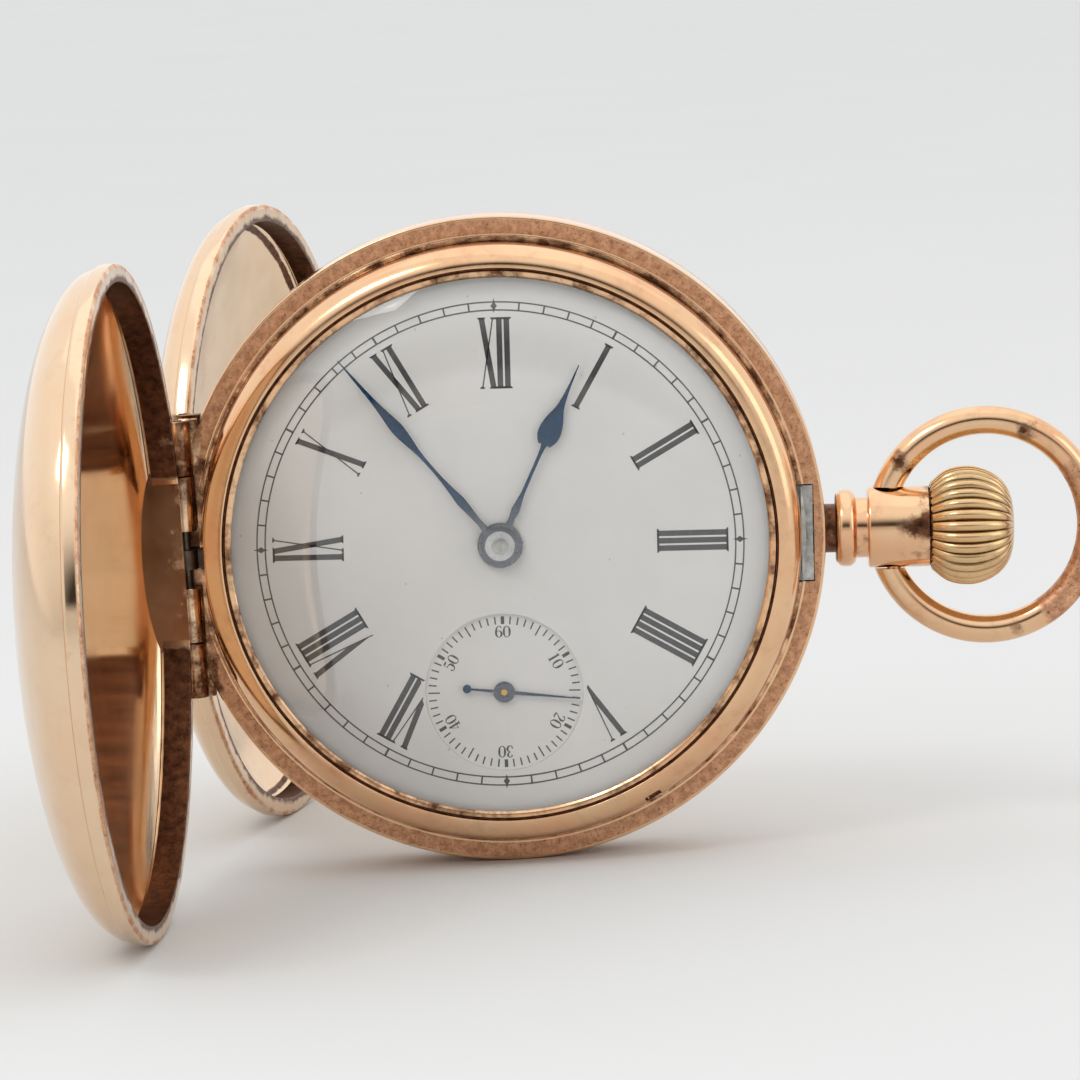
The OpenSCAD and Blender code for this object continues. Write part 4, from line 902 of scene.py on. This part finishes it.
class WATCH_OT_bow(bpy.types.Operator):
    """Round bow with its two pivots in the neck"""
    bl_idname = "watch.bow"
    bl_label = "Bow"

    def execute(self, context):
        deselect()
        bpy.ops.mesh.primitive_torus_add(
            major_segments=144, minor_segments=36, major_radius=BOW_RING_R * MM, minor_radius=sizes().bow_wire,
            rotation=(pi / 2, 0, 0))
        bpy.ops.object.transform_apply(rotation=True)
        ring = bpy.context.object
        ring.name = "Bow"
        moved(ring, shifted(BOW_X, 0, 0))
        carve(ring, [box("neck", (26, -3.5, -3.2), (CROWN_X - 0.5, 3.5, 3.2))])
        pivots = [rod("pivot", 0.55, (BOW_PIVOT_X, 0, s * 2.5), (BOW_PIVOT_X, 0, s * 4.4)) for s in (-1, 1)]
        made = joined("Bow", [ring] + pivots)
        spots = [Vector((BOW_X - 6.6, -0.8, 5.2)), Vector((BOW_X + 3.2, -0.8, 7.4)), Vector((BOW_X + 2.2, -0.7, -8.1))]

        def worn(p):
            angle = degrees(atan2(p.z, p.x - BOW_X))
            inner = sqrt((p.x - BOW_X) ** 2 + p.z ** 2) < BOW_RING_R + 0.35
            return 0.72 * clamp((angle + 66) / 12) * clamp((48 - angle) / 20) * (inner or angle < -8)

        weather(made, worn, lambda p: max(0.7 * max(0.0, 1 - (p - spot).length / 1.7) for spot in spots), 35)
        finish_piece(on_stem(made), "bow_ring", finish("case gold"), ("bow",))
        return {"FINISHED"}


class WATCH_OT_dust_cover(bpy.types.Operator):
    """Inner dust cover over the movement"""
    bl_idname = "watch.dust_cover"
    bl_label = "Dust cover"

    def execute(self, context):
        dress("dust_cover", finish("lid gold"))
        return {"FINISHED"}


# Dial: everything here is drawn with Y out of the page, then turned with the movement

def flat(name, outline, level):
    """A flat face through an outline in millimetres, facing the viewer."""
    piece = loop(name, [Vector((x, level, z)) * MM for x, z in outline])
    in_edit(piece)
    bpy.ops.mesh.edge_face_add()
    select("SELECT")
    out_of_edit()
    return piece


def clock(degrees_on, r, across=0.0):
    """Place on the dial at a clock angle and radius, shifted across the radius."""
    a = radians(degrees_on)
    return (r * sin(a) + across * cos(a), r * cos(a) - across * sin(a))


def ring_band(name, inner, outer, level, steps=180):
    """A flat printed ring."""
    piece = loop(name, [Vector((x, level, z)) * MM for x, z in (clock(-360 * i / steps, outer) for i in range(steps))])
    in_edit(piece)
    bpy.ops.mesh.extrude_region_move()
    bpy.ops.transform.resize(value=(inner / outer, 1, inner / outer))
    out_of_edit()
    return piece


NUMERAL_LOW = 12.1
NUMERAL_HIGH = 17.55
SERIF = 0.16
THICK = 0.43
THIN = 0.1


def bar(x0, x1, width):
    """A stroke from the foot at x0 to the top at x1, as an outline of (across, out)."""
    low, high, half = NUMERAL_LOW, NUMERAL_HIGH, width / 2
    return [(x0 - half, low), (x0 + half, low), (x1 + half, high), (x1 - half, high)]


def serif(x0, x1, at_top):
    """A thin foot or head line, slightly thinner at its ends."""
    edge = NUMERAL_HIGH if at_top else NUMERAL_LOW
    inward = -SERIF if at_top else SERIF
    return [(x0, edge), (x1, edge), (x1 - 0.1, edge + inward), (x0 + 0.1, edge + inward)]


LETTER_WIDTHS = {"I": 0.575, "V": 1.45, "X": 1.3}


def letter_strokes(letter, x):
    """The strokes of one Roman letter whose left edge is at x."""
    low, high = NUMERAL_LOW, NUMERAL_HIGH
    width = LETTER_WIDTHS[letter]
    mid = x + width / 2
    if letter == "I":
        return [bar(mid, mid, THICK), serif(x - 0.1, x + width + 0.1, True), serif(x - 0.1, x + width + 0.1, False)]
    if letter == "V":
        left, right, apex = x + 0.08, x + width - 0.12, x + 0.76
        meet = 1 - THICK / (right - left)
        thick = [(left, high), (left + THICK, high),
                 (left + THICK + meet * (apex - left), high + meet * (low - high)), (apex, low)]
        return [thick, bar(apex - THIN / 2, right - THIN / 2, THIN),
                serif(left - 0.1, left + THICK + 0.12, True), serif(right - 0.28, right + 0.17, True)]
    left, right = x + 0.24, x + width - 0.22
    return [bar(right, left, THICK), bar(left - 0.03, right + 0.04, THIN),
            serif(left - 0.33, left + 0.33, True), serif(right - 0.18, right + 0.26, True),
            serif(left - 0.25, left + 0.18, False), serif(right - 0.33, right + 0.33, False)]


def outside_well(outline):
    """Cuts an outline where it reaches over the sunk seconds dial, along a line square to the way out."""
    middle = Vector((0, -SECONDS_DROP))
    points = [Vector(p) for p in outline]
    if min((p - middle).length for p in points) > 9:
        return outline
    out = (sum(points, Vector((0, 0))) / len(points) - middle).normalized()
    made = []
    for here, after in zip(points, points[1:] + points[:1]):
        a, b = ((p - middle).dot(out) - SECONDS_R - 0.12 for p in (here, after))
        if a >= 0:
            made.append(tuple(here))
        if a * b < 0:
            made.append(tuple(here.lerp(after, a / (a - b))))
    return made


NUMERALS = {1: "I", 2: "II", 3: "III", 4: "IIII", 5: "V", 7: "VII", 8: "VIII", 9: "IX", 10: "X", 11: "XI", 12: "XII"}
PRINT_RISE = 0.012


class WATCH_OT_dial(bpy.types.Operator):
    """Enamel dial with its printed hours and minute track"""
    bl_idname = "watch.dial"
    bl_label = "Dial"

    def execute(self, context):
        line = soften([(1.05, DIAL_Y), (DIAL_R, DIAL_Y), (DIAL_R, DIAL_BACK_Y), (1.05, DIAL_BACK_Y)], [0.05, 0.12, 0, 0])
        plate = turned("Dial", line, angle=40)
        well = rod("well", SECONDS_R + 0.01, (0, -4, -SECONDS_DROP), (0, 0, -SECONDS_DROP), sides=160)
        carve(plate, [well])
        smooth(plate, 40)
        finish_piece(moved(plate, works()), "case", finish("enamel"), ("dial",))

        level = DIAL_Y - PRINT_RISE
        marks = []
        for hour, letters in NUMERALS.items():
            total = sum(LETTER_WIDTHS[each] for each in letters)
            x = -total / 2
            for each in letters:
                for stroke in letter_strokes(each, x):
                    outline = outside_well([clock(hour * 30, r, a) for a, r in stroke])
                    if len(outline) > 2:
                        marks.append(flat("stroke", outline, level))
                x += LETTER_WIDTHS[each]
        for r0, r1 in ((18.05, 18.16), (18.67, 18.78)):
            marks.append(ring_band("ring", r0, r1, level))
        for minute in range(60):
            half = 0.085 if minute % 5 == 0 else 0.065
            shape = [(-half, 18.1), (half, 18.1), (half, 18.72), (-half, 18.72)]
            if minute % 15 == 0:
                shape = [(0, 17.88), (0.09, 18.2), (0.25, 18.42), (0.09, 18.64),
                         (0, 19.02), (-0.09, 18.64), (-0.25, 18.42), (-0.09, 18.2)]
            marks.append(flat("tick", [clock(minute * 6, r, a) for a, r in shape], level))
        ink = joined("Dial_print", marks)
        finish_piece(moved(ink, works()), "case", finish("print"))
        return {"FINISHED"}


class WATCH_OT_seconds_dial(bpy.types.Operator):
    """Sunk seconds dial with its printed track and figures"""
    bl_idname = "watch.seconds_dial"
    bl_label = "Seconds dial"

    def execute(self, context):
        floor = DIAL_Y + WELL_DEPTH
        line = [(0.45, floor), (SECONDS_R, floor), (SECONDS_R, DIAL_BACK_Y), (0.45, DIAL_BACK_Y)]
        plate = turned("Seconds_dial", line, steps=160, angle=40)
        moved(plate, works(0, 0, -SECONDS_DROP))
        finish_piece(plate, "case", finish("enamel"), ("seconds_sub_dial",))

        level = floor - PRINT_RISE
        marks = []
        for second in range(60):
            half = 0.13 if second % 10 == 0 else 0.055
            low = 5.0 if second % 10 == 5 else 5.28
            shape = [(-half, low), (half, low), (half, 5.88), (-half, 5.88)]
            marks.append(flat("tick", [clock(second * 6, r, a) for a, r in shape], level))
        for second in range(10, 61, 10):
            marks.append(figures(str(second), 0.9, second * 6, 4.68, level))
        ink = joined("Seconds_print", marks)
        moved(ink, works(0, 0, -SECONDS_DROP))
        finish_piece(ink, "case", finish("print"))
        return {"FINISHED"}


# Figures: each stroke runs through stations of (across, up, half width), in heights of the figure

FOOT = [(-0.16, -0.48, 0.02), (0.2, -0.48, 0.02)]
FIGURES = {
    "0": [[(0, 0.5, 0.02), (side * 0.2, 0.33, 0.05), (side * 0.25, 0, 0.08), (side * 0.2, -0.33, 0.05), (0, -0.5, 0.02)]
          for side in (-1, 1)],
    "1": [[(0.02, 0.5, 0.075), (0.02, -0.48, 0.075)], [(-0.18, 0.35, 0.015), (0, 0.46, 0.03)], FOOT],
    "2": [[(-0.2, 0.26, 0.065), (-0.17, 0.4, 0.04), (-0.02, 0.49, 0.03), (0.17, 0.4, 0.065), (0.19, 0.21, 0.08),
           (0.08, 0, 0.05), (-0.12, -0.25, 0.03), (-0.22, -0.44, 0.02)],
          [(-0.22, -0.43, 0.04), (0, -0.43, 0.065), (0.19, -0.46, 0.03), (0.25, -0.3, 0.015)]],
    "3": [[(-0.18, 0.29, 0.065), (-0.12, 0.45, 0.03), (0.03, 0.49, 0.03), (0.18, 0.34, 0.065), (0.14, 0.14, 0.05),
           (-0.03, 0.04, 0.02)],
          [(-0.03, 0.04, 0.02), (0.16, -0.06, 0.05), (0.22, -0.24, 0.08), (0.12, -0.44, 0.05), (-0.05, -0.49, 0.03),
           (-0.19, -0.38, 0.04), (-0.21, -0.26, 0.065)]],
    "4": [[(0.1, 0.5, 0.02), (-0.28, -0.2, 0.02)], [(-0.28, -0.2, 0.025), (0.28, -0.2, 0.025)],
          [(0.1, 0.5, 0.07), (0.1, -0.48, 0.07)], [(x + 0.08, y, w) for x, y, w in FOOT]],
    "5": [[(-0.16, 0.45, 0.05), (0.05, 0.44, 0.065), (0.2, 0.48, 0.02)], [(-0.16, 0.46, 0.02), (-0.18, 0.05, 0.02)],
          [(-0.18, 0.05, 0.02), (-0.03, 0.13, 0.03), (0.16, 0.04, 0.06), (0.22, -0.17, 0.08), (0.13, -0.41, 0.05),
           (-0.05, -0.49, 0.03), (-0.2, -0.4, 0.04), (-0.22, -0.27, 0.065)]],
    "6": [[(0.18, 0.34, 0.06), (0.13, 0.47, 0.03), (0, 0.49, 0.025), (-0.17, 0.33, 0.05), (-0.24, -0.02, 0.08),
           (-0.2, -0.33, 0.06), (0, -0.5, 0.02)],
          [(0, -0.5, 0.02), (0.18, -0.36, 0.055), (0.23, -0.17, 0.075), (0.15, 0.02, 0.05), (0, 0.09, 0.02),
           (-0.17, -0.02, 0.02)]],
}
FIGURE_STEP = 0.68


def curve(stations, parts):
    """Points on a smooth curve through its stations."""
    made = []
    count = len(stations)
    for i in range(count - 1):
        p0, p1, p2, p3 = (Vector(stations[max(0, min(count - 1, i + k))]) for k in (-1, 0, 1, 2))
        for k in range(parts):
            t = k / parts
            made.append(0.5 * (2 * p1 + (p2 - p0) * t + (2 * p0 - 5 * p1 + 4 * p2 - p3) * t * t
                               + (3 * p1 - p0 - 3 * p2 + p3) * t ** 3))
    return made + [Vector(stations[-1])]


def pen(stations):
    """The outline of one pen stroke."""
    spots = curve(stations, 5)
    left, right = [], []
    for i, spot in enumerate(spots):
        way = spots[min(i + 1, len(spots) - 1)] - spots[max(i - 1, 0)]
        side = Vector((-way.y, way.x)).normalized() * max(0.02, 1.15 * spot.z)
        left.append((spot.x + side.x, spot.y + side.y))
        right.append((spot.x - side.x, spot.y - side.y))
    return left + right[::-1]


def figures(number, height, degrees_on, r, level):
    """Printed figures set radially at a clock angle."""
    marks = []
    for i, each in enumerate(number):
        shift = (i - (len(number) - 1) / 2) * FIGURE_STEP
        for stroke in FIGURES[each]:
            outline = [clock(degrees_on, r + y * height, (x + shift) * height) for x, y in pen(stroke)]
            marks.append(flat("figure", outline, level))
    return joined("figures", marks)


# Hands

def eased(stations):
    """More points along a hand's edge, on smooth curves through its stations."""
    return [(spot.x, max(0.03, spot.y)) for spot in curve(stations, 6)]


def hand(name, stations, hub, bore, level, turn, tail=None, thick=0.16):
    """A steel hand: a flat outline with a bevelled upper edge, round a bored hub."""
    line = eased(stations)
    outline = [(w, d) for d, w in line] + [(-w, d) for d, w in reversed(line)]
    blade = flat(name, outline, level + thick)
    in_edit(blade)
    bpy.ops.mesh.extrude_region_move(TRANSFORM_OT_translate={"value": (0, -thick * MM, 0)})
    close_up()
    boss = rod("boss", hub, (0, level, 0), (0, level + thick, 0), 0.04, sides=72)
    parts = [boss]
    if tail:
        parts.append(rod("disc", tail[1], (0, level, -tail[0]), (0, level + thick, -tail[0]), 0.03))
    carve(blade, parts, "UNION")
    carve(blade, [rod("bore", bore, (0, level - 1, 0), (0, level + 1, 0), sides=72)])
    in_edit(blade)
    bpy.ops.mesh.remove_doubles(threshold=4e-6)
    close_up()
    take(blade)
    bevel = blade.modifiers.new("bevel", "BEVEL")
    bevel.width = 0.045 * MM
    bevel.segments = 2
    bevel.limit_method = "ANGLE"
    bevel.angle_limit = radians(50)
    bevel.use_clamp_overlap = True
    bpy.ops.object.modifier_apply(modifier=bevel.name)
    smooth(blade, 40)
    return moved(blade, Matrix.Rotation(radians(turn), 4, "Y"))


HOUR_TURN = 25.0
MINUTE_TURN = 320.4
SECONDS_TURN = 96.0

# Half widths along the hands, by the share of their length
HOUR_SHAPE = (
    (0.08, 0.42), (0.115, 0.3), (0.15, 0.24), (0.2, 0.32), (0.25, 0.22), (0.32, 0.14), (0.54, 0.17), (0.56, 0.5),
    (0.6, 0.82), (0.645, 0.86), (0.7, 0.68), (0.76, 0.34), (0.83, 0.17), (0.92, 0.08), (1, 0.03))
MINUTE_SHAPE = (
    (0.05, 0.42), (0.09, 0.28), (0.13, 0.22), (0.2, 0.3), (0.245, 0.35), (0.3, 0.24), (0.37, 0.15), (0.45, 0.14),
    (0.51, 0.2), (0.57, 0.36), (0.625, 0.47), (0.67, 0.42), (0.72, 0.3), (0.79, 0.18), (0.87, 0.12), (0.94, 0.07),
    (1, 0.03))


def grey_near_hub(p):
    """The hands' blue runs out toward their hubs."""
    return 1 - (from_axis(p) - 1.8) / 3.2


class WATCH_OT_hands(bpy.types.Operator):
    """Blued steel hour, minute and seconds hands, and the ends of the cannon pinion and the centre arbor"""
    bl_idname = "watch.hands"
    bl_label = "Hands"

    def execute(self, context):
        for name, body, node, share_of, hub, bore, rise, turn in (
                ("Hour_hand", "hour_work", "hour_hand", HOUR_SHAPE, 1.75, 0.96, 0.45, HOUR_TURN),
                ("Minute_hand", "centre", "minute_hand", MINUTE_SHAPE, 1.4, 0.71, 0.85, MINUTE_TURN)):
            long = getattr(sizes(), node) / MM
            shape = [(share * long, w) for share, w in share_of]
            made = hand(name, shape, hub, bore, DIAL_Y - rise, turn)
            set_mask(made, "wear", grey_near_hub)
            finish_piece(moved(made, works()), body, finish("blue"), (node,))

        long = sizes().seconds_hand / MM
        shape = [(-2.9, 0.07), (-1.5, 0.09), (0, 0.14), (0.5 * long, 0.085), (long, 0.03)]
        made = hand("Seconds_hand", shape, 0.82, 0.26, DIAL_Y - 0.15, SECONDS_TURN, tail=(2.9, 0.33))
        set_mask(made, "wear", lambda p: 0.8 * (p.x ** 2 + p.z ** 2 < 1.2))
        finish_piece(moved(made, works(0, 0, -SECONDS_DROP)), "fourth", finish("blue"), ("second_hand",))

        dress("cannon_pinion", finish("bright steel"))
        end = rod("Centre_arbor_end", 0.62, (0, DIAL_Y - 1.02, 0), (0, DIAL_Y - 1.2, 0), 0.06, sides=64)
        finish_piece(moved(end, works()), "centre", finish("steel"))
        return {"FINISHED"}


# The movement's own nodes keep their shapes

MOVEMENT = {
    "gilt": "main_plate barrel_bridge train_bridge balance_cock pallet_bridge",
    "brass": "centre_wheel third_wheel fourth_wheel hour_wheel minute_wheel mainspring_barrel balance_wheel "
             "balance_screws",
    "bright steel": "case_stem pendant_sleeve winding_stem winding_pinion sliding_clutch ratchet_wheel crown_wheel click "
             "setting_wheel setting_lever yoke_lever barrel_arbor pallet_fork escape_wheel regulator balance_staff",
    "blue": "bridge_screws movement_screws ratchet_screw crown_wheel_screw click_spring hairspring mainspring",
    "copper": "dial_feet",
    "ruby": "plate_jewels pallet_stones",
}


class WATCH_OT_movement(bpy.types.Operator):
    """Finishes of the plates, wheels, springs, screws and jewels of the movement"""
    bl_idname = "watch.movement"
    bl_label = "Movement"

    def execute(self, context):
        for name, nodes in MOVEMENT.items():
            for node in nodes.split():
                dress(node, finish(name))
        return {"FINISHED"}


# Stage

FLOOR_Z = -25.25
FLOOR_R = 8000.0
CAMERA_TILT = radians(7.21)
CAMERA_TURN = radians(-1.77)
CAMERA_ROLL = radians(-3.77)
CAMERA_DISTANCE = 474.25
CAMERA_AIM = Vector((3.0, 0, -0.19))
CAMERA_LENS = 203.48
CAMERA_SENSOR = 36
ROOM_LIGHT = 1.18


def floor_material():
    """Matt pale paper."""
    made, tree, place = start_material("Pale paper")
    grain = noise(tree, place, 60, 2)
    pale = rgba(colours().floor)
    deeper = (pale[0] * 0.97, pale[1] * 0.97, pale[2] * 0.97, 1)
    close_material(tree, {"Base Color": blend(tree, grain, pale, deeper), "Roughness": 0.9, "Specular IOR Level": 0.1})
    return made


def softbox(name, place, aim, width, height, power, tint="#FFFFFF"):
    """A rectangular area lamp, in millimetres and watts."""
    deselect()
    bpy.ops.object.light_add(type="AREA", location=Vector(place) * MM)
    lamp = bpy.context.object
    lamp.name = name
    lamp.data.shape = "RECTANGLE"
    lamp.data.size, lamp.data.size_y = width * MM, height * MM
    lamp.data.energy = power
    lamp.data.color = linear(tint)
    lamp.rotation_euler = ((Vector(aim) - Vector(place)) * MM).to_track_quat("-Z", "Y").to_euler()
    return lamp


def studio_world():
    """A bright room, darker on the camera's side, with the dark camera in it, as the gold shows them."""
    world = bpy.data.worlds.new("Studio")
    bpy.context.scene.world = world
    world.use_nodes = True
    tree = world.node_tree
    tree.nodes.clear()
    way = add(tree, "ShaderNodeTexCoord").outputs["Generated"]
    parts = add(tree, "ShaderNodeSeparateXYZ", {"Vector": way})
    depth = spread(tree, parts.outputs["Y"], -0.9, 0.5, 0, 1)
    rise = spread(tree, parts.outputs["Z"], -0.15, 0.7, 0, 1)
    tone = blend(tree, depth, rgba("#B8B4AF"), rgba("#F0F0EF"))
    tone = blend(tree, rise, tone, rgba("#FAFAFA"))
    low = spread(tree, parts.outputs["Z"], 0.1, 0.16, 0, 1)
    high = spread(tree, parts.outputs["Z"], 0.32, 0.6, 1, 0)
    near = spread(tree, parts.outputs["Y"], -0.96, -0.78, 1, 0)
    shade = add(tree, "ShaderNodeMath", {0: low, 1: high}, operation="MULTIPLY").outputs[0]
    shade = add(tree, "ShaderNodeMath", {0: shade, 1: near}, operation="MULTIPLY").outputs[0]
    tone = blend(tree, shade, tone, rgba("#2E2A27"))
    light = add(tree, "ShaderNodeBackground", {"Color": tone, "Strength": ROOM_LIGHT})
    add(tree, "ShaderNodeOutputWorld", {"Surface": light.outputs[0]})


class WATCH_OT_stage(bpy.types.Operator):
    """Paper floor, lamps, room light and camera"""
    bl_idname = "watch.stage"
    bl_label = "Stage"

    def execute(self, context):
        deselect()
        bpy.ops.mesh.primitive_circle_add(
            vertices=96, radius=FLOOR_R * MM, fill_type="NGON", location=(0, 0, FLOOR_Z * MM))
        floor = bpy.context.object
        floor.name = "Paper_floor"
        floor.data.materials.append(floor_material())

        softbox("Key", (-250, -300, 470), (0, 40, 0), 190, 140, 0.5, "#FFFDFA")
        softbox("Top", (60, 120, 520), (0, 60, 0), 600, 500, 0.2)
        softbox("Right fill", (520, -160, 160), (0, 0, 0), 260, 420, 0.3, "#FFFCF8")
        studio_world()

        deselect()
        bpy.ops.object.camera_add()
        camera = bpy.context.object
        camera.name = "Camera"
        turn = Matrix.Rotation(-CAMERA_TURN, 3, "Z") @ Matrix.Rotation(-CAMERA_TILT, 3, "X")
        right = turn @ Vector((cos(CAMERA_ROLL), 0, sin(CAMERA_ROLL)))
        up = turn @ Vector((-sin(CAMERA_ROLL), 0, cos(CAMERA_ROLL)))
        ahead = turn @ Vector((0, 1, 0))
        place = (CAMERA_AIM - ahead * CAMERA_DISTANCE) * MM
        camera.matrix_world = Matrix.Translation(place) @ Matrix((right, up, -ahead)).transposed().to_4x4()
        camera.data.lens = CAMERA_LENS
        camera.data.sensor_width = CAMERA_SENSOR
        camera.data.sensor_fit = "HORIZONTAL"
        camera.data.clip_start = 0.01
        camera.data.clip_end = 10
        context.scene.camera = camera
        context.scene.view_settings.view_transform = "Standard"
        return {"FINISHED"}


# Panel and running

PIECE_CLASSES = (
    WATCH_OT_band, WATCH_OT_bezel, WATCH_OT_crystal, WATCH_OT_front_lid, WATCH_OT_rear_lid, WATCH_OT_springs,
    WATCH_OT_dust_cover, WATCH_OT_pendant, WATCH_OT_crown, WATCH_OT_bow, WATCH_OT_dial, WATCH_OT_seconds_dial,
    WATCH_OT_hands, WATCH_OT_movement, WATCH_OT_stage)


class WATCH_PT_panel(bpy.types.Panel):
    """Sizes, colours and buttons of the watch"""
    bl_idname = "WATCH_PT_panel"
    bl_label = "Hunter watch"
    bl_space_type = "VIEW_3D"
    bl_region_type = "UI"
    bl_category = "Watch"

    def draw(self, context):
        for group in (context.scene.watch_sizes, context.scene.watch_colours):
            column = self.layout.column()
            for name in group.__annotations__:
                column.prop(group, name)
        for each in PIECE_CLASSES:
            self.layout.operator(each.bl_idname)


CLASSES = (WatchSizes, WatchColours) + PIECE_CLASSES + (WATCH_PT_panel,)


def register():
    for each in CLASSES:
        bpy.utils.register_class(each)
    bpy.types.Scene.watch_sizes = bpy.props.PointerProperty(type=WatchSizes)
    bpy.types.Scene.watch_colours = bpy.props.PointerProperty(type=WatchColours)


def unregister():
    del bpy.types.Scene.watch_colours
    del bpy.types.Scene.watch_sizes
    for each in reversed(CLASSES):
        bpy.utils.unregister_class(each)


def main():
    register()
    for each in PIECE_CLASSES:
        group, name = each.bl_idname.split(".")
        getattr(getattr(bpy.ops, group), name)()


if __name__ == "__main__":
    main()
